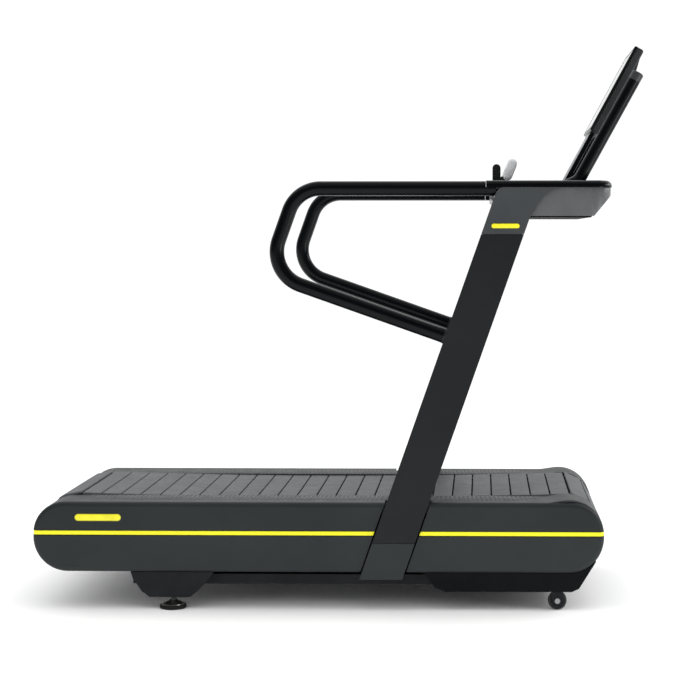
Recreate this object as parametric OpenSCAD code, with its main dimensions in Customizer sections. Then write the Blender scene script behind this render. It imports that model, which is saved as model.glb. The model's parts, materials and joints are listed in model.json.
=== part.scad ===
/* [Base] */
// Front tip of the side covers, along X
base_front_x = 787; // [760:1:830]
// Room between a belt shaft and the covers' tip
end_room = 105.5; // [100:0.5:115]
// Lower edge of the side covers
cover_bottom_z = 114; // [105:1:122]
// Top of the side covers and foot rails
cover_top_z = 323; // [315:1:335]
// From the running belt's edge to the covers' outer face
side_w = 160; // [150:1:180]
// Wall of the covers and trims
cover_wall = 4; // [3:0.5:5]
// Rounding of the covers' outer edge
cover_edge_r = 14; // [10:1:18]
// Corner radius at the upper ends of the base
end_top_r = 95; // [80:1:100]
// Corner radius at the lower ends of the base
end_bottom_r = 105; // [90:1:108]
// Middle height of the accent stripe
stripe_z = 231; // [226:1:236]
// Height of the groove that the stripe lies in
groove_h = 17; // [14:1:20]
// Height of the stripe itself
stripe_h = 12; // [8:1:13]
// Height of the hump at the foot rails' front ends
rail_hump = 8; // [4:1:10]

/* [Belt] */
// Slats around the whole belt, four equal runs of whole slats
slat_pitch = 60; // [58:0.5:61]
// Slats in the upper run and in the lower run
run_slats = 25; // [23:1:25]
// Slats around each end
end_slats = 5; // [5:1:5]
// Gap between neighbouring slats
slat_gap = 4; // [3:0.5:6]
// Half of the running width
belt_half_w = 246; // [230:1:260]
// Slat height above the drive belts
slat_top = 6; // [5:0.5:7]
// Dip of the running surface at its middle
deck_sag = 12; // [8:1:20]
// How far the running surface's ends stand above the foot rails
deck_proud = 7; // [2:1:11]
// How far the belt stands forward of its middle position
belt_phase = 10; // [-20:1:20]
// Diameter of the two belt shafts
shaft_d = 30; // [25:1:40]
// Width of each drive belt
drive_belt_w = 26; // [20:1:30]
// Thickness of each drive belt
drive_belt_t = 6; // [4:0.5:7]
// Diameter of the guide rollers
roller_d = 24; // [20:1:30]

/* [Uprights] */
// Lean of the uprights, from horizontal
lean = 70.57; // [66:0.1:76]
// Width of an upright, square to its length
post_w = 120; // [100:1:140]
// Thickness of an upright, along Y
post_t = 64; // [56:1:66]
// How far an upright stands out from the covers
post_proud = 8; // [4:1:14]
// Rear edge of the uprights at the console's height, along X
post_head_x = 469.3; // [440:0.1:490]
// Wall of an upright
post_wall = 4; // [3:0.5:6]
// Lower end of the uprights' foot covers
post_bottom_z = 95; // [90:1:100]
// Seam above the foot cover
foot_seam_z = 203; // [190:1:215]
// Height of the head cover
head_cover_h = 139; // [125:1:160]
// Black gap around an upright where it passes the covers
slot_gap = 5; // [3:0.5:8]

/* [Handrails] */
// Diameter of the handrail tube
rail_d = 44; // [38:1:50]
// Wall of the handrail tube
rail_wall = 3; // [2:0.5:4]
// Handrail's axis behind the uprights' outer face
rail_inset = 24; // [23:1:30]
// Drop from the console rim's top to the top run's upper side
rail_sink = 2; // [0:1:5]
// Axis radius of the rear upper bend
bend_top_r = 100; // [80:1:120]
// Axis radius of the rear lower bend
bend_low_r = 106; // [80:1:120]
// Rearmost point of the handrail
rail_rear_x = -213; // [-260:1:-150]
// Drop from the top run's axis to the lower bend's centre
rail_drop = 189; // [170:1:210]

/* [Console] */
// Top of the console's dark rim
rim_top_z = 1285; // [1260:1:1325]
// Height of the rim
rim_h = 21; // [16:1:26]
// Height of the console below its rim
console_h = 85; // [75:1:100]
// Front of the console
console_front_x = 809; // [790:1:830]
// Rear edge of the tray between the uprights
console_rear_x = 448; // [440:1:470]
// Tilt of the display, from horizontal
display_tilt = 61.5; // [50:0.5:70]
// Display width
display_w = 370; // [300:1:400]
// Display height along its tilt
display_h = 294; // [250:1:320]
// Display thickness
display_t = 32; // [28:1:40]
// Display's lower front edge above the rim
display_rise = 164; // [120:1:200]
// Diameter of the push handles
handle_d = 38; // [32:1:42]
// Push handles' distance from the centre plane
handle_y = 250; // [230:1:280]
// Rise of the push handles' top centre above the tray
handle_rise = 355; // [300:1:380]

/* [Ground contact] */
// Levelling foot pad diameter
foot_d = 80; // [60:1:84]
// Levelling foot spindle diameter
spindle_d = 16; // [12:1:20]
// Levelling foot's distance from the covers' rear tip
foot_inset = 417; // [380:1:440]
// Levelling foot's distance from the covers' outer face
foot_side = 38; // [34:1:42]
// Front wheel diameter
wheel_d = 56; // [50:1:56]
// Front wheel's distance from the covers' front tip
wheel_inset = 139; // [130:1:180]
// Front wheel's distance from the covers' outer face
wheel_side = 40; // [36:1:46]
// Front wheel axle diameter
wheel_axle_d = 10; // [8:1:14]

/* [Brake] */
// Brake disc diameter
disc_d = 150; // [120:1:160]
// Brake shaft diameter
brake_shaft_d = 16; // [12:1:20]
// Brake shaft's distance behind the front belt shaft
brake_dx = 200; // [190:1:240]
// Large step-up pulley radius, on the front belt shaft
step_up_r = 66; // [50:1:72]
// Small step-up pulley radius, on the brake shaft
step_down_r = 22; // [18:1:26]

/* [Hidden] */
$fn = 48;

// Clearances
fit_gap = 0.05;          // radial, between a shaft and its bore
run_gap = 0.3;           // between moving curved faces
seam = 0.5;              // between neighbouring covers
eps = 0.01;
weld_line = 0.05;        // between a tube's straights and bends

// Belt geometry: two end wheels joined by a straight lower run and a slightly hollow upper run
belt_length = slat_pitch * 2 * (run_slats + end_slats);
shaft_gap = slat_pitch * run_slats;
centre_dist = shaft_gap * shaft_gap / (8 * deck_sag);
deck_angle = asin(shaft_gap / 2 / centre_dist);
belt_r = (belt_length - shaft_gap - 2 * centre_dist * deck_angle * PI / 180) / (2 * PI);
deck_r = centre_dist - belt_r;
shaft_z = cover_top_z + deck_proud - belt_r - slat_top;
deck_centre_z = shaft_z + sqrt(centre_dist * centre_dist - shaft_gap * shaft_gap / 4);
front_shaft_x = base_front_x - end_room;
rear_shaft_x = front_shaft_x - shaft_gap;
base_rear_x = rear_shaft_x - end_room;
base_mid_x = (base_rear_x + base_front_x) / 2;
slat_w = slat_pitch - slat_gap;
slat_body_half_w = belt_half_w - 62;
slat_rib_h = 26;
slat_rib_t = 10;
belt_y = belt_half_w - 40;
pulley_r = belt_r - run_gap - drive_belt_t - run_gap;
roller_y = belt_half_w - 10;
hub_r = shaft_d / 2 + 9;
web_r = (pulley_r + hub_r) / 2;
web_hole_r = (pulley_r - hub_r) / 2 - 12;
roller_w = 11;
track_y = belt_half_w - 2;
track_t = 5;
roller_step = 96;
roller_count = floor(shaft_gap / roller_step) - 1;
roller_axle_d = 8;

// Side frame
cover_half_w = belt_half_w + side_w;
rail_t = 6;
plate_y = belt_half_w + 54;
plate_t = 8;
beam_w = 38;
beam_bottom_z = 69;
beam_h = 30;
plate_top_z = cover_top_z - 61;
plate_rear_x = base_rear_x + 60;
plate_front_x = base_front_x - 60;
cross_step = shaft_gap * 0.24;

// Stripe and the lip behind it, measured in from the covers' face
stripe_inset = 1.6;
lip_inset = cover_wall + 1.6;

// Uprights
lean_run = 1 / tan(lean);
head_top_z = rim_top_z - rim_h;
head_seam_z = head_top_z - head_cover_h;
function post_rear_x(z) = post_head_x + (z - head_top_z) * lean_run;
post_span_x = post_w / sin(lean);
post_out_y = cover_half_w + post_proud;
post_in_y = post_out_y - post_t;

// Handrail, drawn in the XZ plane
rail_r = rail_d / 2;
rail_y = post_out_y - rail_inset;
rail_z = rim_top_z - rail_sink - rail_r;
rail_start_x = post_head_x - 35.3;
upright_top_z = rail_z - rail_r - 5;
low_bend = [rail_rear_x + rail_r + bend_low_r, rail_z - rail_drop];
rail_up = [cos(lean), sin(lean)];
rail_side = [sin(lean), -cos(lean)];
low_tangent_rear = low_bend - bend_low_r * rail_side;
low_tangent_front = low_bend - bend_low_r * rail_up;
top_corner = low_tangent_rear + rail_up * (rail_z - low_tangent_rear[1]) / rail_up[1];
top_reach = bend_top_r * tan(lean / 2);
top_bend = [top_corner[0] + top_reach, rail_z - bend_top_r];
rail_rear_top = top_corner - top_reach * rail_up;
post_hit = (post_rear_x(low_tangent_front[1]) - low_tangent_front[0]) * sin(lean);

// Console
skin = 4;
console_bottom_z = head_top_z - console_h;
tray_half_w = post_out_y - 8;
tray_nose_r = 60;
chamfer_x = console_front_x - 53;
pocket_rear_x = console_rear_x + 52;
pocket_front_x = pocket_rear_x + 150;
pocket_floor_z = head_top_z - 36;
pocket_in_y = 70;
pocket_out_y = handle_y - handle_d / 2 - 11;
electronics_x = console_front_x - 109;
display_foot = [console_front_x - 53, rim_top_z + display_rise];
stand_t = 14;
stand_back = 8.5;
stand_half_w = 110;
stand_foot_x = display_foot[0] - (display_foot[1] - head_top_z) / tan(display_tilt);
handle_tilt = 61.15;
handle_r = handle_d / 2;
handle_top = [console_front_x + 91.4, head_top_z + handle_rise];
handle_bend_r = 45;
handle_bend_angle = 40;
handle_len = 362;
cap_len = 29;

// Ground contact
foot_pad_h = 23;
bracket_bottom_z = 36;
bracket_t = 44;
pan_bottom_z = 57;
pan_half_w = cover_half_w - 10;
pan_rear_x = base_front_x - 540;
foot_x = base_rear_x + foot_inset;
foot_y = cover_half_w - foot_side;
wheel_x = base_front_x - wheel_inset;
wheel_y = cover_half_w - wheel_side;

// Brake
brake_x = front_shaft_x - brake_dx;
disc_room = 13.45;
brake_z = cover_top_z - rail_t - disc_room - disc_d / 2;
step_belt_t = 3;
step_belt_y = plate_y + 30;
step_belt_w = 14;
disc_y = cover_half_w - 40;
disc_t = 6;
yoke_pivot = [brake_x - 96, brake_z + 18];
yoke_pin_d = 12;
lever_pivot = [console_rear_x + 27, head_top_z + 26];
lever_pin_d = 10;

// ---------- helpers ----------

// Extrudes a drawing made in X and Z between two Y values
module xz(y0, y1) {
    translate([0, y1, 0]) rotate([90, 0, 0]) linear_extrude(y1 - y0) children();
}

// A round bar along Y
module y_bar(x, z, r, y0, y1) {
    translate([x, y1, z]) rotate([90, 0, 0]) cylinder(r = r, h = y1 - y0);
}

module box(x0, x1, y0, y1, z0, z1) {
    translate([x0, y0, z0]) cube([x1 - x0, y1 - y0, z1 - z0]);
}

module mirror_y() {
    mirror([0, 1, 0]) children();
}

module both_sides() {
    children();
    mirror_y() children();
}

// A rectangle with one radius at its lower corners and one at its upper corners
module end_outline(inset, low_r = end_bottom_r, top_r = end_top_r) {
    x0 = base_rear_x + inset;
    x1 = base_front_x - inset;
    z0 = cover_bottom_z + inset;
    z1 = cover_top_z - inset;
    lr = low_r - inset;
    tr = top_r - inset;
    union() {
        translate([x0 + lr, z0]) square([x1 - x0 - 2 * lr, lr]);
        translate([x0 + tr, z1 - tr]) square([x1 - x0 - 2 * tr, tr]);
        translate([x0, z0 + lr]) square([x1 - x0, z1 - z0 - lr - tr]);
        for (c = [[x0 + lr, z0 + lr, lr, 180], [x1 - lr, z0 + lr, lr, 270],
                  [x1 - tr, z1 - tr, tr, 0], [x0 + tr, z1 - tr, tr, 90]])
            translate([c[0], c[1]]) intersection() {
                circle(c[2], $fn = 96);
                rotate(c[3]) square(c[2] + 1);
            }
    }
}

// Rounded outer edge of the covers: a profile (inward distance, lateral distance) swept round the outline
module edge_profile() {
    intersection() {
        translate([cover_edge_r, 0]) difference() {
            circle(cover_edge_r);
            circle(cover_edge_r - cover_wall);
        }
        square(cover_edge_r);
    }
}

// One straight side of the sweep, from (x0, z0) over a length, the profile's inward side at +90 degrees
module edge_straight(x, z, turn, length) {
    translate([x, 0, z]) rotate([0, -turn, 0]) rotate([90, 0, 90]) linear_extrude(length)
        rotate(90) mirror([0, 1]) edge_profile();
}

module edge_corner(x, z, r, start) {
    translate([x, 0, z]) rotate([90, 0, 0]) rotate([0, 0, start]) rotate_extrude(angle = 90, $fn = 96)
        translate([r, 0]) mirror([1, 0]) mirror([0, 1]) edge_profile();
}

module cover_edge() {
    x0 = base_rear_x;
    x1 = base_front_x;
    z0 = cover_bottom_z;
    z1 = cover_top_z;
    lr = end_bottom_r;
    tr = end_top_r;
    translate([0, cover_half_w - cover_edge_r, 0]) {
        edge_straight(x0 + lr, z0, 0, x1 - x0 - 2 * lr);
        edge_straight(x1, z0 + lr, 90, z1 - z0 - lr - tr);
        edge_straight(x1 - tr, z1, 180, x1 - x0 - 2 * tr);
        edge_straight(x0, z1 - tr, 270, z1 - z0 - lr - tr);
        edge_corner(x0 + lr, z0 + lr, lr, 180);
        edge_corner(x1 - lr, z0 + lr, lr, 270);
        edge_corner(x1 - tr, z1 - tr, tr, 0);
        edge_corner(x0 + tr, z1 - tr, tr, 90);
    }
}

// The whole left cover skin, before it is parted at the stripe
module cover_skin() {
    cover_edge();
    xz(cover_half_w - cover_wall, cover_half_w) end_outline(cover_edge_r);
}

// Leaning prism of the uprights' width, grown by a gap, between two heights and two Y values
module post_prism(gap, z0, z1, y0, y1) {
    g = gap / sin(lean);
    xz(y0, y1) polygon([
        [post_rear_x(z0) - g, z0], [post_rear_x(z0) + post_span_x + g, z0],
        [post_rear_x(z1) + post_span_x + g, z1], [post_rear_x(z1) - g, z1]
    ]);
}

module post_slot() {
    post_prism(slot_gap, cover_bottom_z - 20, cover_top_z + 40, post_in_y - slot_gap, post_out_y + 20);
}

// Flat band in plan that follows the covers at a given inset
module plan_band(inset, wall) {
    module ring(i) {
        r = cover_edge_r - i;
        translate([base_rear_x + i + r, 0]) square([base_front_x - base_rear_x - 2 * i - 2 * r, cover_half_w - i]);
        translate([base_rear_x + i, 0]) square([base_front_x - base_rear_x - 2 * i, cover_half_w - i - r]);
        for (x = [base_rear_x + i + r, base_front_x - i - r]) translate([x, cover_half_w - i - r]) circle(r);
    }
    intersection() {
        difference() {
            ring(inset);
            ring(inset + wall);
        }
        translate([base_rear_x, cover_half_w - cover_edge_r]) square([base_front_x - base_rear_x, cover_edge_r]);
    }
}

// ---------- base frame ----------

module plate_outline() {
    polygon([
        [plate_rear_x + 60, cover_bottom_z + 4], [foot_x - 125, cover_bottom_z + 4], [foot_x - 125, beam_bottom_z],
        [wheel_x, beam_bottom_z], [plate_front_x, shaft_z - 50],
        [plate_front_x, plate_top_z], [plate_rear_x, plate_top_z], [plate_rear_x, shaft_z - 60]
    ]);
}

module frame_rail() {
    difference() {
        union() {
            difference() {
                box(foot_x - 125, wheel_x + 40, plate_y + plate_t, plate_y + plate_t + beam_w,
                    beam_bottom_z, beam_bottom_z + beam_h);
                box(foot_x - 126, wheel_x + 41, plate_y + plate_t + 3, plate_y + plate_t + beam_w - 3,
                    beam_bottom_z + 3, beam_bottom_z + beam_h - 3);
            }
            xz(plate_y, plate_y + plate_t) plate_outline();
        }
        for (x = [front_shaft_x, rear_shaft_x])
            y_bar(x, shaft_z, shaft_d / 2 + 4, plate_y - 1, plate_y + plate_t + 1);
    }
}

module frame_rail_left() { color("#26282a") frame_rail(); }
module frame_rail_right() { color("#26282a") mirror_y() frame_rail(); }

// Rectangular tubes between the side plates, below the lower run
module cross_members() {
    color("#26282a") for (i = [-1.5:1.5]) translate([base_mid_x + i * cross_step, 0, 0]) difference() {
        box(-20, 20, -plate_y, plate_y, beam_bottom_z + 2, beam_bottom_z + beam_h - 2);
        box(-17, 17, -plate_y - 1, plate_y + 1, beam_bottom_z + 5, beam_bottom_z + beam_h - 5);
    }
}

module foot_bracket() {
    y0 = plate_y + plate_t + beam_w;
    difference() {
        union() {
            difference() {
                xz(y0, y0 + bracket_t) bracket_outline(0);
                xz(y0 + cover_wall, y0 + bracket_t - cover_wall) bracket_outline(cover_wall);
                xz(y0 + cover_wall, y0 + bracket_t - cover_wall)
                    translate([foot_x - 115, cover_bottom_z - 20]) square([230, 30]);
            }
            translate([foot_x, foot_y, bracket_bottom_z]) cylinder(d = spindle_d + 10, h = 60);
        }
        translate([foot_x, foot_y, bracket_bottom_z - 1]) cylinder(d = spindle_d + 2 * fit_gap, h = 80);
    }
}

// Trapezoid with rounded lower corners
module bracket_outline(inset) {
    r = 16 - inset;
    z0 = bracket_bottom_z + inset;
    x0 = foot_x - 84 + inset;
    x1 = foot_x + 70 - inset;
    polygon([[foot_x - 125 + inset, cover_bottom_z - 1], [foot_x - 118 + inset, cover_bottom_z - 24],
        [x0 - 6, z0 + r], [x0 + r, z0], [x1 - r, z0], [x1 + 4, z0 + r],
        [foot_x + 110 - inset, cover_bottom_z - 24], [foot_x + 126 - inset, cover_bottom_z - 1]]);
}

module rear_foot_bracket_left() { color("#202224") foot_bracket(); }
module rear_foot_bracket_right() { color("#202224") mirror_y() foot_bracket(); }

// Rubber pad, steel base and spindle
module levelling_foot() {
    translate([foot_x, foot_y, 0]) rotate_extrude() polygon([
        [0, 0], [foot_d / 2 - 3, 0], [foot_d / 2, 3], [foot_d / 2, 11], [foot_d / 2 - 5, 14],
        [spindle_d / 2 + 6, foot_pad_h], [spindle_d / 2, foot_pad_h], [spindle_d / 2, bracket_bottom_z + 72],
        [spindle_d / 2 - 2, bracket_bottom_z + 74], [0, bracket_bottom_z + 74]
    ]);
}

module levelling_foot_left() { color("#161718") levelling_foot(); }
module levelling_foot_right() { color("#161718") mirror_y() levelling_foot(); }

// Hexagon nuts locked against the brackets from above
module foot_lock_nuts() {
    color("#9a9c9e") both_sides() translate([foot_x, foot_y, bracket_bottom_z + 60]) difference() {
        cylinder(d = spindle_d * 1.6, h = 8, $fn = 6);
        translate([0, 0, -1]) cylinder(d = spindle_d + 2 * fit_gap, h = 10, $fn = 48);
    }
}

module front_wheel() {
    translate([wheel_x, wheel_y - 12, wheel_d / 2]) rotate([-90, 0, 0]) difference() {
        rotate_extrude($fn = 72) polygon([
            [0, 0], [wheel_d / 2 - 8, 0], [wheel_d / 2 - 8, 2], [wheel_d / 2 - 3, 2], [wheel_d / 2, 5],
            [wheel_d / 2, 19], [wheel_d / 2 - 3, 22], [wheel_d / 2 - 8, 22], [wheel_d / 2 - 8, 24], [0, 24]
        ]);
        translate([0, 0, -1]) cylinder(d = wheel_axle_d + 2 * fit_gap, h = 26);
    }
}

module front_wheel_left() { color("#161718") front_wheel(); }
module front_wheel_right() { color("#161718") mirror_y() front_wheel(); }

// Forks that hang from the side beams
module wheel_brackets() {
    color("#26282a") both_sides() difference() {
        union() {
            for (y = [wheel_y - 17, wheel_y + 13]) {
                box(wheel_x - 16, wheel_x + 16, y, y + 4, wheel_d / 2, beam_bottom_z + beam_h);
                y_bar(wheel_x, wheel_d / 2, 16, y, y + 4);
            }
            box(wheel_x - 16, wheel_x + 16, plate_y + plate_t + beam_w, wheel_y + 17,
                wheel_d + 8, beam_bottom_z + beam_h);
        }
        y_bar(wheel_x, wheel_d / 2, wheel_axle_d / 2, wheel_y - 20, wheel_y + 20);
    }
}

module wheel_axles() {
    color("#a0a2a4") both_sides() {
        y_bar(wheel_x, wheel_d / 2, wheel_axle_d / 2, wheel_y - 17, wheel_y + 17);
        y_bar(wheel_x, wheel_d / 2, wheel_axle_d / 2 + 3, wheel_y + 17, wheel_y + 20);
    }
}

// Belly pan below the front of the base
module pan_outline(inset) {
    z0 = pan_bottom_z + inset;
    polygon([
        [pan_rear_x + inset, cover_bottom_z - seam], [pan_rear_x + 14 + inset, cover_bottom_z - 18],
        [pan_rear_x + 34 + inset, z0 + 12], [pan_rear_x + 68 + inset, z0],
        [base_front_x - 97 - inset, z0], [base_front_x - 75 - inset, z0 + 10],
        [base_front_x - 24 - inset, cover_bottom_z + 34], [base_front_x - 60, cover_bottom_z + 46],
        [base_front_x - 90, cover_bottom_z - seam]
    ]);
}

module front_lower_cover() {
    color("#17191b") difference() {
        xz(-pan_half_w, pan_half_w) pan_outline(0);
        xz(cover_wall - pan_half_w, pan_half_w - cover_wall) pan_outline(cover_wall);
        box(pan_rear_x + cover_wall, base_front_x - 94, cover_wall - pan_half_w, pan_half_w - cover_wall,
            cover_bottom_z - 14, cover_bottom_z + 60);
        box(pan_rear_x - 20, pan_rear_x + 60, 50 - pan_half_w, pan_half_w - 50, pan_bottom_z + 3,
            cover_bottom_z + 6);
        both_sides() box(wheel_x - wheel_d / 2 - 8, wheel_x + wheel_d / 2 + 8, wheel_y - 24, wheel_y + 24,
            pan_bottom_z - 17, wheel_d + 24);
        y_bar(front_shaft_x, shaft_z, belt_r + slat_top + 3, -belt_half_w - 10, belt_half_w + 10);
        // room for the covers' rounded front corner
        both_sides() xz(plate_y - 51, cover_half_w) difference() {
            end_outline(0);
            end_outline(cover_wall + 2);
        }
    }
}

// ---------- covers ----------

module side_cover_upper() {
    difference() {
        intersection() {
            cover_skin();
            box(base_rear_x - 1, base_front_x + 1, plate_y, cover_half_w + 1, stripe_z + groove_h / 2,
                cover_top_z + 1);
        }
        post_slot();
    }
}

module side_cover_lower() {
    difference() {
        union() {
            intersection() {
                cover_skin();
                box(base_rear_x - 1, base_front_x + 1, plate_y, cover_half_w + 1, cover_bottom_z - 1,
                    stripe_z - groove_h / 2);
            }
            // lip behind the stripe, tucked inside the upper cover
            translate([0, 0, stripe_z - groove_h / 2 - 3]) linear_extrude(groove_h + 5)
                plan_band(lip_inset, 2.5);
            translate([0, 0, stripe_z - groove_h / 2 - 3]) linear_extrude(3) plan_band(cover_wall - 1, 4);
            // inward returns that close the rounded ends below the foot rails
            difference() {
                intersection() {
                    xz(plate_y - 50, cover_half_w - cover_edge_r) difference() {
                        end_outline(0);
                        end_outline(cover_wall);
                    }
                    for (x = [base_rear_x - 1, base_front_x - end_bottom_r + 1])
                        box(x, x + end_bottom_r, plate_y - 51, cover_half_w, cover_bottom_z - 1,
                            stripe_z - groove_h / 2);
                }
                xz(plate_y - seam, plate_y + plate_t + seam) offset(delta = seam) plate_outline();
            }
        }
        post_slot();
    }
}

module stripe() {
    difference() {
        translate([0, 0, stripe_z - stripe_h / 2]) linear_extrude(stripe_h)
            plan_band(stripe_inset, lip_inset - stripe_inset - 0.1);
        post_slot();
    }
}

module side_cover_upper_left() { color("#3a3d40") side_cover_upper(); }
module side_cover_upper_right() { color("#3a3d40") mirror_y() side_cover_upper(); }
module side_cover_lower_left() { color("#44474a") side_cover_lower(); }
module side_cover_lower_right() { color("#44474a") mirror_y() side_cover_lower(); }
module stripe_left() { color("#e8e020") stripe(); }
module stripe_right() { color("#e8e020") mirror_y() stripe(); }

// Foot rail band over the top and round both ends, with a hump at the front
hump_x0 = base_front_x - 177;
hump_x1 = base_front_x - end_top_r - rail_hump;
function smooth(t) = t * t * (3 - 2 * t);
function rail_line(inset) = concat(
    [for (a = [180:-7.5:90]) [base_rear_x + end_top_r, cover_top_z - end_top_r]
        + (end_top_r - inset) * [cos(a), sin(a)]],
    [for (t = [0:0.1:1]) [hump_x0 + (hump_x1 - hump_x0) * t, cover_top_z - inset + rail_hump * smooth(t)]],
    [for (a = [82.5:-7.5:0]) [hump_x1, cover_top_z - end_top_r]
        + (end_top_r + rail_hump - inset) * [cos(a), sin(a)]]
);
rail_lines = [for (inset = [0, rail_t]) rail_line(inset)];

module foot_rail() {
    low = stripe_z - groove_h / 2 + 1 - cover_top_z + end_top_r;
    rail_outer_y = cover_half_w - cover_edge_r - seam;
    difference() {
        union() {
            xz(belt_half_w + slat_gap, rail_outer_y) polygon(concat(
                rail_lines[0],
                [for (i = [len(rail_lines[1]) - 1:-1:0]) rail_lines[1][i]]));
            for (x = [base_rear_x, base_front_x - rail_t])
                box(x, x + rail_t, belt_half_w + slat_gap, rail_outer_y, cover_top_z - end_top_r + low,
                    cover_top_z - end_top_r);
            // hanging edge beside the slats
            box(base_rear_x + end_top_r, base_front_x - end_top_r, belt_half_w + slat_gap,
                belt_half_w + slat_gap + 3, cover_top_z - 16, cover_top_z - 5);
        }
        post_slot();
    }
}

module foot_rail_left() { color("#5c5f62") foot_rail(); }
module foot_rail_right() { color("#5c5f62") mirror_y() foot_rail(); }

// ---------- running belt ----------

// One slat, centred on its place on the belt line, +Z outward, travelling along X
module slat() {
    half = slat_w / 2;
    edge = 1.5;
    xz(-belt_half_w, belt_half_w) polygon([
        [-half, 0], [-half, slat_top - edge], [edge - half, slat_top],
        [half - edge, slat_top], [half, slat_top - edge], [half, 0]
    ]);
    xz(-slat_body_half_w, slat_body_half_w) polygon([
        [1 - half, eps], [half - 1, eps], [half - 3, -slat_top],
        [slat_rib_t / 2, -slat_top], [slat_rib_t / 2, -slat_rib_h],
        [-slat_rib_t / 2, -slat_rib_h], [-slat_rib_t / 2, -slat_top], [3 - half, -slat_top]
    ]);
}

run_middle = (run_slats - 1) / 2;
pitch_on_deck = slat_pitch / deck_r * 180 / PI;
pitch_on_end = slat_pitch / belt_r * 180 / PI;
phase_on_deck = belt_phase / deck_r * 180 / PI;
phase_on_end = belt_phase / belt_r * 180 / PI;

module slats_upper() {
    color("#6a6d70") for (i = [-run_middle:run_middle])
        translate([base_mid_x, 0, deck_centre_z]) rotate([0, -(i * pitch_on_deck + phase_on_deck), 0])
            translate([0, 0, -deck_r]) slat();
}

module slats_lower() {
    color("#6a6d70") for (i = [-run_middle:run_middle])
        translate([base_mid_x + i * slat_pitch - belt_phase, 0, shaft_z - belt_r]) rotate([0, 180, 0]) slat();
}

// Slats round one end, counted from the lower run upwards
module end_group(x, way) {
    for (i = [0:end_slats - 1])
        translate([x, 0, shaft_z]) rotate([0, way * (180 - (i + 0.5) * pitch_on_end) + phase_on_end, 0])
            translate([0, 0, belt_r]) slat();
}

module slats_front() { color("#6a6d70") end_group(front_shaft_x, 1); }
module slats_rear() { color("#6a6d70") end_group(rear_shaft_x, -1); }

// Closed belt outline at a distance outside or inside the belt line
function belt_outline(d) = concat(
    [for (a = [-90:6:90 + deck_angle]) [front_shaft_x, shaft_z] + (belt_r + d) * [cos(a), sin(a)]],
    [for (t = [0.98:-0.07:-0.98]) [base_mid_x, deck_centre_z]
        + (deck_r - d) * [sin(t * deck_angle), -cos(t * deck_angle)]],
    [for (a = [90 - deck_angle:6:270]) [rear_shaft_x, shaft_z] + (belt_r + d) * [cos(a), sin(a)]],
    [[rear_shaft_x, shaft_z - belt_r - d]]
);

module drive_belt() {
    xz(belt_y - drive_belt_w / 2, belt_y + drive_belt_w / 2) difference() {
        polygon(belt_outline(-run_gap - 0.2));
        polygon(belt_outline(-run_gap - drive_belt_t));
    }
}

module drive_belt_left() { color("#1a1b1c") drive_belt(); }
module drive_belt_right() { color("#1a1b1c") mirror_y() drive_belt(); }

module track() {
    plate_r = deck_r + 4;
    reach = roller_step * (roller_count - 1) / 2 + 30;
    difference() {
        union() {
            xz(track_y, track_y + track_t) polygon(concat(
                [[base_mid_x + reach, shaft_z + 30], [base_mid_x - reach, shaft_z + 30]],
                [for (t = [-1:0.1:1 + eps]) [base_mid_x + t * reach,
                    deck_centre_z - sqrt(plate_r * plate_r - t * t * reach * reach)]]));
            for (x = [-0.32, 0, 0.32] * shaft_gap) box(base_mid_x + x - 30, base_mid_x + x + 30,
                track_y, plate_y, shaft_z + 34, shaft_z + 40);
        }
        for_rollers() y_bar(0, 0, roller_axle_d / 2, track_y - 1, track_y + track_t + 1);
    }
}

// Places its children at every guide roller's axis
module for_rollers() {
    for (i = [0:roller_count - 1])
        translate([base_mid_x, 0, deck_centre_z])
            rotate([0, -(i - (roller_count - 1) / 2) * roller_step / deck_r * 180 / PI, 0])
                translate([0, 0, -deck_r - run_gap - roller_d / 2]) children();
}

module track_left() { color("#8a8d90") track(); }
module track_right() { color("#8a8d90") mirror_y() track(); }

// Rollers with their stub axles, pressed in the tracks
module guide_rollers() {
    color("#303234") both_sides() for_rollers() {
        y_bar(0, 0, roller_d / 2, roller_y - roller_w / 2, roller_y + roller_w / 2);
        y_bar(0, 0, roller_axle_d / 2, roller_y, track_y + track_t);
    }
}

module bearing_block(x) {
    difference() {
        xz(plate_y - 26, plate_y) {
            translate([x, shaft_z]) circle(shaft_d / 2 + 19);
            translate([x - 52, shaft_z - 18]) square([104, 36]);
        }
        y_bar(x, shaft_z, shaft_d / 2 + fit_gap, plate_y - 27, plate_y + 1);
    }
}

module bearing_blocks() {
    color("#4a4c4e") both_sides() {
        bearing_block(front_shaft_x);
        bearing_block(rear_shaft_x);
    }
}

// The front shaft reaches through the left plate to the step-up pulley
module front_shaft() {
    color("#b0b2b4") union() {
        y_bar(front_shaft_x, shaft_z, shaft_d / 2, -plate_y - 4, step_belt_y + 12);
        y_bar(front_shaft_x, shaft_z, step_up_r, step_belt_y - 8, step_belt_y + 8);
    }
}

module rear_shaft() {
    color("#b0b2b4") y_bar(rear_shaft_x, shaft_z, shaft_d / 2, -plate_y - 4, plate_y + 4);
}

module belt_pulley(x) {
    difference() {
        union() {
            y_bar(x, shaft_z, pulley_r, belt_y - drive_belt_w / 2 - 1, belt_y + drive_belt_w / 2 + 1);
            y_bar(x, shaft_z, hub_r, belt_y - 22, belt_y + 22);
        }
        y_bar(x, shaft_z, shaft_d / 2, belt_y - 30, belt_y + 30);
        for (a = [0:60:300]) translate([x, 0, shaft_z]) rotate([0, a, 0])
            y_bar(web_r, 0, web_hole_r, belt_y - 30, belt_y + 30);
    }
}

module front_pulleys() { color("#5a5c5e") both_sides() belt_pulley(front_shaft_x); }
module rear_pulleys() { color("#5a5c5e") both_sides() belt_pulley(rear_shaft_x); }

// ---------- brake ----------

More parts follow.
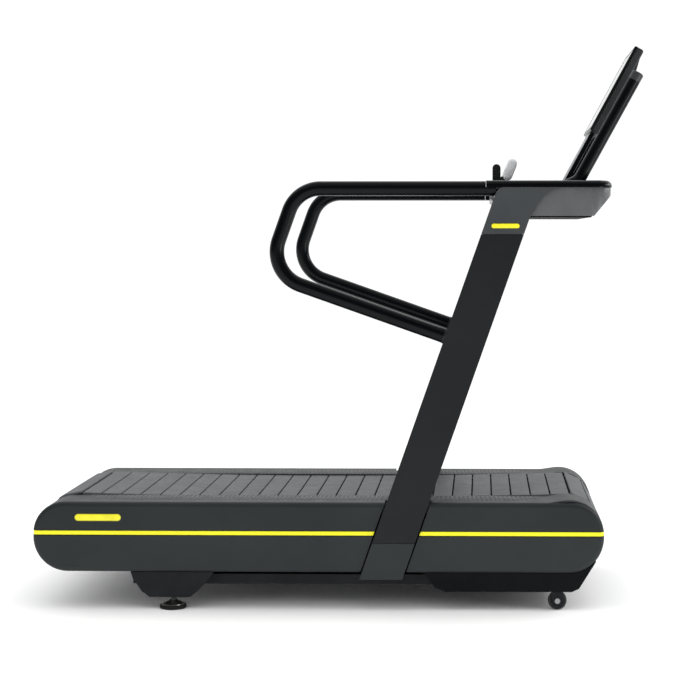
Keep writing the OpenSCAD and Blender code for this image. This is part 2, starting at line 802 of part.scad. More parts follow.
module brake_disc() {
    color("#c0884a") union() {
        y_bar(brake_x, brake_z, disc_d / 2, disc_y - disc_t / 2, disc_y + disc_t / 2);
        y_bar(brake_x, brake_z, brake_shaft_d / 2, plate_y + plate_t + 2, disc_y + 12);
        y_bar(brake_x, brake_z, step_down_r, step_belt_y - 8, step_belt_y + 8);
    }
}

// Bearing bracket on the side plate, and the arm that carries the yoke's pivot
module brake_bracket() {
    y0 = plate_y + plate_t;
    color("#303234") difference() {
        union() {
            y_bar(brake_x, brake_z, 19, y0, y0 + 10);
            xz(y0, y0 + 6) translate([brake_x - 60, brake_z - 24]) square([90, 48]);
            xz(y0, y0 + 6) translate([yoke_pivot[0] - 18, brake_z - 24]) square([60, 60]);
            y_bar(yoke_pivot[0], yoke_pivot[1], 13, y0, disc_y - 14);
        }
        y_bar(brake_x, brake_z, brake_shaft_d / 2 + fit_gap, y0 - 1, y0 + 11);
        y_bar(yoke_pivot[0], yoke_pivot[1], yoke_pin_d / 2, y0 + 8, disc_y - 13);
    }
}

module step_up_belt() {
    module loop(d) {
        f = [front_shaft_x, shaft_z];
        b = [brake_x, brake_z];
        slope = atan2(f[1] - b[1], f[0] - b[0]);
        spread = asin((step_up_r - step_down_r) / norm(f - b));
        front = slope - 90 - spread;
        rear = slope + 90 + spread;
        polygon(concat(
            [for (i = [0:30]) f + (step_up_r + d)
                * [cos(front + i * (rear - front) / 30), sin(front + i * (rear - front) / 30)]],
            [for (i = [0:16]) b + (step_down_r + d)
                * [cos(rear + i * (360 + front - rear) / 16), sin(rear + i * (360 + front - rear) / 16)]]));
    }
    color("#141516") xz(step_belt_y - step_belt_w / 2, step_belt_y + step_belt_w / 2) difference() {
        loop(run_gap + 0.4 + step_belt_t);
        loop(run_gap + 0.4);
    }
}

// C-shaped magnet carrier that swings over the rim of the disc
module magnet_yoke() {
    reach = 14;
    color("#3c3e40") difference() {
        union() {
            for (y = [disc_y - disc_t / 2 - 8, disc_y + disc_t / 2 + 2]) xz(y, y + 6)
                translate([yoke_pivot[0] - 12, yoke_pivot[1] - 34]) square([12 + reach + 24, 68]);
            xz(disc_y - disc_t / 2 - 8, disc_y + disc_t / 2 + 8)
                translate([yoke_pivot[0] - 12, yoke_pivot[1] - 34]) square([18, 68]);
        }
        y_bar(yoke_pivot[0], yoke_pivot[1], yoke_pin_d / 2 + fit_gap, disc_y - 20, disc_y + 20);
    }
}

module yoke_pivot_pin() {
    color("#a0a2a4") union() {
        y_bar(yoke_pivot[0], yoke_pivot[1], yoke_pin_d / 2, plate_y + plate_t + 8, disc_y + 14);
        y_bar(yoke_pivot[0], yoke_pivot[1], yoke_pin_d / 2 + 3, disc_y + 12, disc_y + 15);
    }
}

// ---------- uprights and handrails ----------

module upright() {
    difference() {
        union() {
            post_prism(0, foot_seam_z + seam, head_seam_z - seam, post_in_y, post_out_y);
            post_prism(-5, post_bottom_z + 12, upright_top_z, post_in_y + 5, post_out_y - 6);
            // lug that bolts to the side plate
            box(post_rear_x(150) + 20, post_rear_x(150) + 110, plate_y + plate_t, post_in_y + 8, 108, 178);
        }
        post_prism(-5 - post_wall, post_bottom_z, upright_top_z + 1, post_in_y + 5 + post_wall,
            post_out_y - 6 - post_wall);
    }
}

module upright_left() { color("#1d1f21") upright(); }
module upright_right() { color("#1d1f21") mirror_y() upright(); }

// Shell round the foot of an upright
module foot_cover() {
    difference() {
        post_prism(0, post_bottom_z, foot_seam_z - seam, post_in_y, post_out_y);
        post_prism(-4.5, post_bottom_z + 8, foot_seam_z + 1, post_in_y + 4.5, post_out_y - 5.5);
        box(post_rear_x(150) + 15, post_rear_x(150) + 115, plate_y, post_in_y + 20, 104, 182);
    }
}

module foot_cover_left() { color("#44474a") foot_cover(); }
module foot_cover_right() { color("#44474a") mirror_y() foot_cover(); }

head_rear_x = post_rear_x(head_top_z - 22);
head_badge_z = head_seam_z + 24;
module head_outline() {
    polygon([
        [post_rear_x(head_seam_z), head_seam_z], [head_rear_x, head_top_z - 22], [head_rear_x + 5, head_top_z - 12],
        [head_rear_x + 13, head_top_z - 4], [head_rear_x + 23, head_top_z], [head_rear_x + 200, head_top_z],
        [head_rear_x + 172, head_top_z - 8], [head_rear_x + 150, head_top_z - 22],
        [head_rear_x + 132, head_top_z - 42], [head_rear_x + 118, head_top_z - 68],
        [post_rear_x(console_bottom_z) + post_span_x, console_bottom_z],
        [post_rear_x(head_seam_z) + post_span_x, head_seam_z]
    ]);
}

module head_cover() {
    difference() {
        union() {
            xz(post_out_y - 5, post_out_y) head_outline();
            difference() {
                post_prism(0, head_seam_z, head_top_z, post_in_y, post_out_y - 4);
                box(rail_start_x - 20, head_rear_x + 30, post_in_y - 1, post_out_y + 1, head_top_z - 24,
                    head_top_z + 1);
            }
        }
        post_prism(-4.5, head_seam_z - 1, upright_top_z + 0.5, post_in_y + 4.5, post_out_y - 5.5);
        rail_end_room();
    }
}

// Room for the handrail's end behind the head cover
module rail_end_room() {
    translate([rail_start_x - 30, rail_y, rail_z]) rotate([0, 90, 0]) cylinder(r = rail_r + seam, h = 84);
}

module head_cover_left() { color("#4c4f52") head_cover(); }
module head_cover_right() { color("#4c4f52") mirror_y() head_cover(); }

// The handrail's whole path for a bar of one radius, grown past its ends by extra
module rail_path(r, extra) {
    bar_between([rail_start_x + extra, rail_z], [top_bend[0], rail_z], r);
    bar_bend(top_bend, bend_top_r, r, 90, 90 + lean);
    bar_between(rail_rear_top, low_tangent_rear, r);
    bar_bend(low_bend, bend_low_r, r, 90 + lean, 180 + lean);
    bar_between(low_tangent_front, low_tangent_front + (post_hit + extra) * rail_side, r);
}

// Short plugs across the joints between straights and bends
module rail_joints(r, length) {
    bar_plug([top_bend[0], rail_z], [1, 0], r, length);
    bar_plug(rail_rear_top, rail_up, r, length);
    bar_plug(low_tangent_rear, rail_up, r, length);
    bar_plug(low_tangent_front, rail_side, r, length);
}

module bar_plug(p, dir, r, length) {
    bar_between(p - length / 2 * dir, p + length / 2 * dir, r, 0);
}

// A straight bar between two points, short of each by a weld line
module bar_between(p, q, r, weld = weld_line) {
    d = (q - p) / norm(q - p);
    a = p + weld * d;
    translate([a[0], 0, a[1]]) rotate([0, 90 - atan2(d[1], d[0]), 0]) cylinder(r = r, h = norm(q - p) - 2 * weld);
}

module bar_bend(c, bend, r, a0, a1) {
    translate([c[0], 0, c[1]]) rotate([90, 0, 0]) rotate([0, 0, a0])
        rotate_extrude(angle = a1 - a0, $fn = 96) translate([bend, 0]) circle(r);
}

module handrail() {
    inner_r = rail_r - rail_wall;
    translate([0, rail_y, 0]) {
        difference() {
            rail_path(rail_r, 0);
            rail_path(inner_r, 1);
        }
        difference() {
            rail_joints(inner_r + rail_wall / 4, 8);
            rail_joints(inner_r - rail_wall, 10);
        }
    }
}

module handrail_left() { color("#141516") handrail(); }
module handrail_right() { color("#141516") mirror_y() handrail(); }

// ---------- console ----------

// Plan outline of the tray, with rounded front corners
module tray_plan(inset, rear = console_rear_x) {
    x1 = console_front_x - inset;
    w = tray_half_w - inset;
    r = tray_nose_r - inset;
    union() {
        translate([rear, -w]) square([x1 - r - rear, 2 * w]);
        translate([x1 - r - 1, r - w]) square([r + 1, 2 * (w - r)]);
        for (y = [r - w, w - r]) translate([x1 - r, y]) circle(r);
    }
}

// Side outline of the console below its rim
module tray_side(inset) {
    z0 = console_bottom_z + inset;
    polygon([
        [console_rear_x + inset, head_top_z - inset], [console_rear_x + inset, z0 + 50], [console_rear_x + 60, z0],
        [chamfer_x - inset * 0.4, z0], [console_front_x - 2 - inset, z0 + 60], [console_front_x - inset, z0 + 66],
        [console_front_x - inset, head_top_z - inset]
    ]);
}

module console_tray() {
    color("#515457") difference() {
        intersection() {
            xz(-tray_half_w, tray_half_w) tray_side(0);
            translate([0, 0, console_bottom_z - 1]) linear_extrude(200) tray_plan(0);
        }
        // hollow inside, open at the bottom for the under cover
        intersection() {
            xz(skin - tray_half_w, tray_half_w - skin) tray_side(skin);
            translate([0, 0, console_bottom_z - 1]) linear_extrude(200) tray_plan(skin);
            difference() {
                box(console_rear_x, console_front_x, -tray_half_w, tray_half_w, console_bottom_z, head_top_z);
                both_sides() box(pocket_rear_x - skin, pocket_front_x + skin, pocket_in_y - skin,
                    pocket_out_y + skin, pocket_floor_z - skin, head_top_z + 1);
            }
        }
        box(console_rear_x + 60 + skin, chamfer_x - skin - 2, skin + 10 - tray_half_w, tray_half_w - skin - 10,
            console_bottom_z - 1, console_bottom_z + skin + 1);
        // storage pockets either side of the lever
        both_sides() box(pocket_rear_x, pocket_front_x, pocket_in_y, pocket_out_y, pocket_floor_z,
            head_top_z + 1);
        both_sides() post_prism(seam, console_bottom_z - 60, head_top_z + 1, post_in_y, post_out_y + 1);
        both_sides() xz(tray_half_w - 4, post_out_y) head_outline();
        // room for the rim's tube ends
        both_sides() box(console_rear_x - 1, rail_start_x + 32, rail_y - rail_r - seam, tray_half_w + 1,
            rail_z - rail_r - seam, head_top_z + 1);
    }
}

module console_under_cover() {
    gap = seam;
    color("#1c1e20") difference() {
        box(console_rear_x + 60 + skin + gap, chamfer_x - skin - 2 - gap, skin + 10 - tray_half_w + gap,
            tray_half_w - skin - 10 - gap, console_bottom_z - 4, console_bottom_z + skin);
        both_sides() post_prism(2 * seam, console_bottom_z - 60, head_top_z + 1, post_in_y - 2, post_out_y + 1);
    }
}

module electronics_box() {
    color("#2c2e30") union() {
        box(electronics_x - 40, electronics_x + 40, -110, 110, console_bottom_z + skin,
            console_bottom_z + skin + 34);
        for (y = [-80, 80]) translate([electronics_x, y, console_bottom_z + skin + 33]) cylinder(r = 6, h = 10);
    }
}

// Dark rim that carries on from the handrails round the console
module console_rim() {
    rim_w = rail_d;
    color("#141516") difference() {
        union() {
            difference() {
                translate([0, 0, head_top_z + seam / 2]) linear_extrude(rim_h - seam / 2 - 3)
                    rim_plan(0);
                translate([0, 0, head_top_z - 1]) linear_extrude(rim_h + 2) rim_plan(rim_w);
            }
            difference() {
                translate([0, 0, rim_top_z - 3 - eps]) linear_extrude(3 + eps) rim_plan(3);
                translate([0, 0, rim_top_z - 5]) linear_extrude(6) rim_plan(rim_w - 3);
            }
            both_sides() translate([rail_start_x + seam, rail_y, rail_z]) rotate([0, 90, 0])
                cylinder(r = rail_r, h = 30);
            both_sides() box(rail_start_x + seam, rail_start_x + 30, rail_y - rail_r, rail_y + rail_r,
                rail_z, rim_top_z - 3);
        }
        box(rail_start_x - 40, rail_start_x + 0.4, -500, 500, head_top_z - 100, head_top_z + 100);
    }
}

module rim_plan(inset) {
    x1 = console_front_x + 3 - inset;
    w = rail_y + rail_r + 1 - inset;
    r = max(tray_nose_r - inset, 10);
    x0 = rail_start_x + seam - (inset > 10 ? 10 : 0);
    union() {
        translate([x0, -w]) square([x1 - r - x0, 2 * w]);
        translate([x1 - r - 1, r - w]) square([r + 1, 2 * (w - r)]);
        for (y = [r - w, w - r]) translate([x1 - r, y]) circle(r);
    }
}

// ---------- resistance lever ----------

module lever_base() {
    x = lever_pivot[0];
    color("#17181a") {
        box(x - 19, x + 7, -14, 14, head_top_z, head_top_z + 71);
        y_bar(x - 6, head_top_z + 71, 13, -14, 14);
        box(x - 23, x + 55, -40, 40, head_top_z, head_top_z + 5);
        y_bar(x, lever_pivot[1], 13, -14, 14);
        y_bar(x, lever_pivot[1], lever_pin_d / 2, -24, 24);
    }
}

module lever_handle() {
    grip_low = lever_pivot + [29, 22];
    grip_top = lever_pivot + [44, 59];
    grip_r = 16;
    color("#c8cacc") difference() {
        union() {
            xz(-55, 55) hull() {
                translate(grip_low) circle(grip_r, $fn = 32);
                translate(grip_top) circle(grip_r, $fn = 32);
            }
            both_sides() xz(15, 22) union() {
                translate(lever_pivot) circle(11);
                translate(lever_pivot) rotate(atan2(grip_low[1] - lever_pivot[1], grip_low[0] - lever_pivot[0]))
                    translate([0, -8]) square([32, 16]);
            }
        }
        y_bar(lever_pivot[0], lever_pivot[1], lever_pin_d / 2 + fit_gap, -30, 30);
    }
}

// ---------- push handles and display ----------

handle_dir = [cos(handle_tilt), sin(handle_tilt)];
handle_side = [sin(handle_tilt), -cos(handle_tilt)];
handle_low = handle_top - handle_len * handle_dir;
handle_bend_c = handle_low - handle_bend_r * handle_side;
handle_end_angle = handle_tilt - 90 - handle_bend_angle;
handle_foot = handle_bend_c + handle_bend_r * [cos(handle_end_angle), sin(handle_end_angle)];

module push_handle() {
    foot_dir = [sin(handle_end_angle), -cos(handle_end_angle)];
    translate([0, handle_y, 0]) {
        bar_between(handle_low, handle_top - cap_len * handle_dir, handle_r);
        bar_bend(handle_bend_c, handle_bend_r, handle_r, handle_end_angle, handle_tilt - 90);
        bar_plug(handle_low, handle_dir, handle_r - 2, 6);
        bar_plug(handle_foot, foot_dir, handle_r - 2, 6);
        intersection() {
            bar_between(handle_foot, handle_foot + 90 * foot_dir, handle_r);
            box(console_rear_x, console_front_x + 200, -100, 100, head_top_z, handle_top[1]);
        }
    }
}

module push_handles() { color("#141516") both_sides() push_handle(); }

// Caps with a small seam below them and a rounded top edge
module push_handle_caps() {
    p = handle_top - (cap_len - seam) * handle_dir;
    color("#3a3c3e") both_sides() translate([p[0], handle_y, p[1]]) rotate([0, 90 - handle_tilt, 0])
        rotate_extrude() polygon([
            [0, 0], [handle_r, 0], [handle_r, cap_len - 5], [handle_r - 1.5, cap_len - 2],
            [handle_r - 5, cap_len - seam], [0, cap_len - seam]
        ]);
}

// Display frame: local X climbs the display, local Z leaves its front
module display_place() {
    translate([display_foot[0], 0, display_foot[1]]) rotate([0, -display_tilt, 0]) children();
}

module display_stand() {
    slant = (display_foot[1] - head_top_z) / sin(display_tilt);
    color("#8c8f92") union() {
        intersection() {
            display_place() box(-slant - 30, 60, -stand_half_w, stand_half_w, -stand_back - stand_t, -stand_back);
            box(console_rear_x, console_front_x + 200, -display_w, display_w, head_top_z, handle_top[1]);
        }
        box(stand_foot_x, stand_foot_x + 60, 10 - stand_half_w, stand_half_w - 10, head_top_z, head_top_z + 4);
    }
}

module display_housing() {
    color("#2e3134") difference() {
        union() {
            display_place() box(0, display_h, -display_w / 2, display_w / 2, -display_t, -12);
            display_place() xz(-110, 110) polygon([
                [display_h - 4, 1 - display_t], [display_h - 70, -display_t - 13], [110, -display_t - 22],
                [60, 1 - display_t]
            ]);
        }
        stand_slot();
    }
}

// Room for the stand's upper end in the display
module stand_slot() {
    display_place() box(-40, 61, -stand_half_w - seam, stand_half_w + seam, -stand_back - stand_t - seam,
        seam - stand_back);
}

// Black front frame with the glass let into it
module display_screen() {
    color("#0c0d0e") difference() {
        display_place() box(0, display_h, -display_w / 2, display_w / 2, seam - 12, 0);
        stand_slot();
    }
}

// ---------- badges ----------

module pill(w, h, t) {
    linear_extrude(t) union() {
        square([w - h, h], center = true);
        for (x = [h / 2 - w / 2, w / 2 - h / 2]) translate([x, 0]) circle(h / 2);
    }
}

module badges() {
    color("#e8e020") both_sides() {
        translate([base_rear_x + 197, cover_half_w, cover_top_z - 46]) rotate([-90, 0, 0]) pill(140, 22, 1.2);
        translate([post_rear_x(head_badge_z) + post_span_x / 2, post_out_y, head_badge_z]) rotate([-90, 0, 0])
            pill(86, 16, 1.2);
    }
}

frame_rail_left();
frame_rail_right();
cross_members();
rear_foot_bracket_left();
rear_foot_bracket_right();
levelling_foot_left();
levelling_foot_right();
foot_lock_nuts();
front_wheel_left();
front_wheel_right();
wheel_brackets();
wheel_axles();
front_lower_cover();
side_cover_upper_left();
side_cover_upper_right();
side_cover_lower_left();
side_cover_lower_right();
stripe_left();
stripe_right();
foot_rail_left();
foot_rail_right();
track_left();
track_right();
guide_rollers();
bearing_blocks();
slats_upper();
slats_front();
slats_lower();
slats_rear();
drive_belt_left();
drive_belt_right();
front_shaft();
rear_shaft();
front_pulleys();
rear_pulleys();
brake_disc();
brake_bracket();
step_up_belt();
magnet_yoke();
yoke_pivot_pin();
upright_left();
upright_right();
foot_cover_left();
foot_cover_right();
head_cover_left();
head_cover_right();
handrail_left();
handrail_right();
console_tray();
console_rim();
console_under_cover();
electronics_box();
lever_base();
lever_handle();
push_handles();
push_handle_caps();
display_stand();
display_housing();
display_screen();
badges();
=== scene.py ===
import json
import math

import bmesh
import bpy
from mathutils import Matrix, Vector


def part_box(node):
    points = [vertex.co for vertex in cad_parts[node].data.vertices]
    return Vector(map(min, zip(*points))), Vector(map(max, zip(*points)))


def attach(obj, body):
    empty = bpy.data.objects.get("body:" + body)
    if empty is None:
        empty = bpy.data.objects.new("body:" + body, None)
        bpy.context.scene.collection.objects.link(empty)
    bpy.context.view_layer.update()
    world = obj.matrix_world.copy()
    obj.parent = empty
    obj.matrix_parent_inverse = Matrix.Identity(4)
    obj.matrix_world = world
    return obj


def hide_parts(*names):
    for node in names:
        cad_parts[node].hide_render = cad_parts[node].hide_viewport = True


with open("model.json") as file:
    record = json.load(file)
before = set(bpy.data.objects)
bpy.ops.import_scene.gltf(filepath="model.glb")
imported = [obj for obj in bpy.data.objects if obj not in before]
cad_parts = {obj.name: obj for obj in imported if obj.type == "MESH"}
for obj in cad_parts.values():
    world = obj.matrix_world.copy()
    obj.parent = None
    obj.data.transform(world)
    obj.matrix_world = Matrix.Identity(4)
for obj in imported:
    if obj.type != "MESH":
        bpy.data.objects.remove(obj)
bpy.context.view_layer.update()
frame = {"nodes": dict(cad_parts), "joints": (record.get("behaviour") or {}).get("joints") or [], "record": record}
nodes = frame["nodes"]
record = frame["record"]
joints = {j["name"]: j for j in frame["joints"]}
ratios = {c["joint"]: c["ratio"] for c in record["behaviour"]["couplings"]}
SIDES = (("left", 1), ("right", -1))

# ---------- sizes shared with the CAD, in metres ----------

LEAN = math.radians(70.57)
HEAD_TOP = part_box("head_cover_left")[1].z
HEAD_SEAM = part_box("head_cover_left")[0].z
POST_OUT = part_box("foot_cover_left")[1].y
POST_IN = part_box("foot_cover_left")[0].y
POST_HEAD_X = 0.4693
POST_RUN = 0.12 / math.sin(LEAN)
COVER_LO, COVER_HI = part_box("side_cover_upper_left")
COVER_TOP = COVER_HI.z
RAIL_LO, RAIL_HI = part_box("foot_rail_left")
BELT_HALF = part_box("slats_upper")[1].y
BELT_R = 1 / abs(ratios["belt_turn_front"])
DECK_R = 1 / abs(ratios["belt_deck"])
DECK_CENTRE = Vector(joints["belt_deck"]["pos_m"])
FRONT_SHAFT = Vector(joints["belt_turn_front"]["pos_m"])
REAR_SHAFT = Vector(joints["belt_turn_rear"]["pos_m"])
PITCH = 0.060
SLAT_W = 0.056
SLAT_TOP = 0.006
RUN_SLATS = 25
END_SLATS = 5
PHASE = DECK_CENTRE.x - (RUN_SLATS - 1) / 2 * PITCH - SLAT_W / 2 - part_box("slats_lower")[0].x


def post_x(z):
    """Rear edge of the uprights at one height."""
    return POST_HEAD_X + (z - HEAD_TOP) / math.tan(LEAN)


# ---------- materials ----------

def srgb(r, g, b):
    def linear(v):
        v = v / 255
        return v / 12.92 if v <= 0.04045 else ((v + 0.055) / 1.055) ** 2.4
    return (linear(r), linear(g), linear(b), 1.0)


def add_node(tree, kind, **values):
    node = tree.nodes.new(kind)
    for key, value in values.items():
        if hasattr(node, key):
            setattr(node, key, value)
        else:
            node.inputs[key.replace("_", " ")].default_value = value
    return node


def two_tone(tree, factor, low, high, start=0.35, end=0.65):
    ramp = add_node(tree, "ShaderNodeValToRGB")
    ramp.color_ramp.elements[0].position = start
    ramp.color_ramp.elements[0].color = low
    ramp.color_ramp.elements[1].position = end
    ramp.color_ramp.elements[1].color = high
    tree.links.new(factor, ramp.inputs["Fac"])
    return ramp.outputs["Color"]


def remap(tree, value, low, high, from_low=0.3, from_high=0.7):
    node = add_node(tree, "ShaderNodeMapRange")
    node.inputs["From Min"].default_value = from_low
    node.inputs["From Max"].default_value = from_high
    node.inputs["To Min"].default_value = low
    node.inputs["To Max"].default_value = high
    tree.links.new(value, node.inputs["Value"])
    return node.outputs["Result"]


def noise(tree, coords, scale, detail=3.0):
    node = add_node(tree, "ShaderNodeTexNoise")
    node.inputs["Scale"].default_value = scale
    node.inputs["Detail"].default_value = detail
    tree.links.new(coords, node.inputs["Vector"])
    return node.outputs["Fac"]


def cells(tree, coords, scale):
    node = add_node(tree, "ShaderNodeTexVoronoi")
    node.inputs["Scale"].default_value = scale
    tree.links.new(coords, node.inputs["Vector"])
    return node.outputs["Distance"]


def mix_colour(tree, factor, a, b):
    node = add_node(tree, "ShaderNodeMix", data_type="RGBA")
    tree.links.new(factor, node.inputs["Factor"])
    for socket, value in ((node.inputs[6], a), (node.inputs[7], b)):
        if isinstance(value, tuple):
            socket.default_value = value
        else:
            tree.links.new(value, socket)
    return node.outputs[2]


def edge_mask(tree, radius):
    """1 where the surface turns sharply within the radius, 0 on flat stretches."""
    bevel = add_node(tree, "ShaderNodeBevel", samples=4)
    bevel.inputs["Radius"].default_value = radius
    geometry = add_node(tree, "ShaderNodeNewGeometry")
    dot = add_node(tree, "ShaderNodeVectorMath", operation="DOT_PRODUCT")
    tree.links.new(bevel.outputs["Normal"], dot.inputs[0])
    tree.links.new(geometry.outputs["Normal"], dot.inputs[1])
    return remap(tree, dot.outputs["Value"], 1.0, 0.0, 0.75, 0.985)


def surface(name, dark, light, rough, spread=0.05, metallic=0.0, specular=0.5, patch=5.0, grain=600.0,
            depth=0.00003, stretch=(1, 1, 1), coat=0.0, edge_wear_and_painted_highlight=None, edge_wear_and_highlight_radius=0.0015, dots=None,
            dot_depth=0.0002, dot_colour=None):
    """A painted, moulded or metal finish: colour patches, fine grain in roughness and bump, lighter edges, which
    are edge wear and, on the slats, a painted highlight.
    """
    material = bpy.data.materials.new(name)
    material.use_nodes = True
    tree = material.node_tree
    shader = tree.nodes["Principled BSDF"]
    mapping = add_node(tree, "ShaderNodeMapping")
    mapping.inputs["Scale"].default_value = stretch
    tree.links.new(add_node(tree, "ShaderNodeTexCoord").outputs["Object"], mapping.inputs["Vector"])
    coords = mapping.outputs["Vector"]
    colour = two_tone(tree, noise(tree, coords, patch, 6.0), dark, light)
    fine = noise(tree, coords, grain, 2.0)
    height = fine
    if dots:
        spots = cells(tree, coords, dots)
        colour = mix_colour(tree, remap(tree, spots, 1.0, 0.0, 0.15, 0.5), colour, dot_colour or dark)
        bumps = add_node(tree, "ShaderNodeBump")
        bumps.inputs["Distance"].default_value = dot_depth
        tree.links.new(spots, bumps.inputs["Height"])
    # Lighter colour where the surface turns sharply: edge wear, and on the slats a painted highlight along their
    # edges.
    if edge_wear_and_painted_highlight:
        mask = add_node(tree, "ShaderNodeMath", operation="MULTIPLY")
        tree.links.new(edge_mask(tree, edge_wear_and_highlight_radius), mask.inputs[0])
        tree.links.new(remap(tree, noise(tree, coords, 60.0, 4.0), 0.0, 0.9), mask.inputs[1])
        colour = mix_colour(tree, mask.outputs["Value"], colour, edge_wear_and_painted_highlight)
    tree.links.new(colour, shader.inputs["Base Color"])
    blotch = noise(tree, coords, patch * 5, 4.0)
    tree.links.new(remap(tree, blotch, rough - spread, rough + spread), shader.inputs["Roughness"])
    bump = add_node(tree, "ShaderNodeBump")
    bump.inputs["Distance"].default_value = depth
    tree.links.new(height, bump.inputs["Height"])
    if dots:
        tree.links.new(bumps.outputs["Normal"], bump.inputs["Normal"])
    tree.links.new(bump.outputs["Normal"], shader.inputs["Normal"])
    shader.inputs["Metallic"].default_value = metallic
    shader.inputs["Specular IOR Level"].default_value = specular
    shader.inputs["Coat Weight"].default_value = coat
    shader.inputs["Coat Roughness"].default_value = 0.12
    return material


M = {
    "upper": surface("cover_upper_paint", srgb(34, 38, 39), srgb(39, 43, 44), 0.42, specular=0.2,
                     edge_wear_and_painted_highlight=srgb(84, 88, 90), patch=3.0),
    "lower": surface("cover_lower_paint", srgb(38, 42, 43), srgb(43, 47, 48), 0.44, specular=0.2,
                     edge_wear_and_painted_highlight=srgb(90, 94, 95), patch=3.0),
    "post": surface("upright_paint", srgb(20, 23, 25), srgb(24, 27, 29), 0.40, specular=0.22,
                    edge_wear_and_painted_highlight=srgb(58, 62, 64), patch=2.5),
    "head": surface("head_cover_paint", srgb(55, 58, 60), srgb(60, 63, 65), 0.40, specular=0.25,
                    edge_wear_and_painted_highlight=srgb(96, 99, 101)),
    "console": surface("console_plastic", srgb(74, 76, 77), srgb(88, 90, 91), 0.3, specular=0.5,
                       edge_wear_and_painted_highlight=srgb(104, 107, 109)),
    "dark": surface("dark_plastic", srgb(18, 19, 20), srgb(24, 25, 26), 0.55, grain=900.0),
    # Near-black underside plastic: partly its own dark colour, partly painted shade under the console and at the
    # base's low front end.
    "under": surface("underside_plastic_with_painted_shade", srgb(7, 10, 12), srgb(10, 13, 15), 0.75, specular=0.15,
                     grain=500.0),
    "steel_black": surface("black_frame_paint", srgb(18, 22, 24), srgb(24, 28, 30), 0.5, specular=0.2,
                           patch=9.0,
                           depth=0.00006, grain=350.0, edge_wear_and_painted_highlight=srgb(88, 90, 92)),
    # The ribs use a lighter copy of the rail rubber and the rail between them a darker one: painted light on the
    # rib tops and painted shade in the grooves.
    "rail": surface("foot_rail_rubber_with_painted_groove_shade", srgb(47, 50, 51), srgb(53, 56, 57), 0.52, specular=0.3, grain=700.0,
                    depth=0.00005),
    "rail_rib": surface("foot_rail_rib_rubber_painted_light", srgb(56, 59, 60), srgb(64, 67, 68), 0.5, specular=0.3,
                        grain=700.0,
                        depth=0.00005),
    # The light edge colour on the slats is a painted highlight along their rounded edges, not wear.
    "slat": surface("slat_rubber", srgb(76, 79, 81), srgb(86, 89, 91), 0.55, specular=0.3, patch=9.0,
                    grain=500.0,
                    depth=0.00008, dots=300.0, dot_depth=0.00018, dot_colour=srgb(74, 77, 79),
                    edge_wear_and_painted_highlight=srgb(176, 178, 179), edge_wear_and_highlight_radius=0.0018),
    "slat_metal": surface("slat_aluminium", srgb(120, 122, 124), srgb(142, 144, 146), 0.35, metallic=1.0,
                          stretch=(1, 0.03, 1), grain=900.0),
    "stripe": surface("accent_stripe", srgb(232, 226, 0), srgb(240, 234, 12), 0.35, patch=2.0),
    "badge": surface("badge_enamel", srgb(222, 214, 0), srgb(236, 228, 8), 0.3, coat=0.4, patch=30.0),
    "badge_edge": surface("badge_edge_metal", srgb(150, 146, 70), srgb(176, 172, 96), 0.3, metallic=1.0),
    "tube": surface("gloss_black_tube", srgb(3, 5, 8), srgb(5, 7, 10), 0.24, spread=0.04, patch=4.0,
                    specular=0.16, grain=300.0, depth=0.000002),
    # The paddle's light grey is a painted reflection of the bright room on its gloss.
    "grip": surface("lever_grip_painted_reflection", srgb(176, 178, 180), srgb(192, 194, 196), 0.24, coat=0.5),
    "lever": surface("lever_black_gloss", srgb(7, 8, 9), srgb(11, 12, 13), 0.16, coat=0.5, grain=300.0,
                     depth=0.000002),
    # The screen is off; its light grey colour is a painted reflection of the bright room on the glass.
    "glass": surface("display_glass_painted_reflection", srgb(140, 143, 146), srgb(152, 155, 158), 0.12, patch=2.0, coat=0.6,
                     depth=0.000004),
    "bezel": surface("display_bezel", srgb(6, 7, 8), srgb(9, 10, 11), 0.3, specular=0.3, grain=300.0,
                     depth=0.000002),
    "shell": surface("display_shell", srgb(38, 40, 42), srgb(46, 48, 50), 0.45, specular=0.25, depth=0.00001),
    "stand": surface("stand_paint", srgb(118, 121, 123), srgb(132, 135, 137), 0.4, edge_wear_and_painted_highlight=srgb(190, 192, 193)),
    "cap": surface("handle_cap_plastic", srgb(40, 42, 44), srgb(50, 52, 54), 0.3, specular=0.3,
                   depth=0.00001),
    "rubber": surface("black_rubber", srgb(17, 18, 18), srgb(24, 25, 25), 0.7, grain=450.0, depth=0.00012),
    "tread": surface("wheel_tread", srgb(26, 27, 28), srgb(36, 37, 38), 0.6, grain=450.0, depth=0.0001),
    "zinc": surface("zinc_plate", srgb(150, 152, 150), srgb(186, 186, 180), 0.32, metallic=1.0, patch=60.0),
    "steel": surface("turned_steel", srgb(150, 151, 152), srgb(178, 179, 180), 0.28, metallic=1.0,
                     stretch=(0.1, 3, 0.1)),
    "cast": surface("cast_aluminium", srgb(108, 110, 112), srgb(134, 136, 138), 0.45, metallic=1.0,
                    grain=260.0, depth=0.00012),
    "copper": surface("brake_disc_copper", srgb(176, 112, 66), srgb(206, 142, 92), 0.3, metallic=1.0,
                      patch=14.0),
    "belt": surface("drive_belt_rubber", srgb(20, 20, 21), srgb(28, 28, 29), 0.65, grain=400.0, depth=0.0001),
    "plate": surface("track_zinc", srgb(120, 122, 123), srgb(148, 150, 150), 0.4, metallic=0.9, patch=40.0),
}
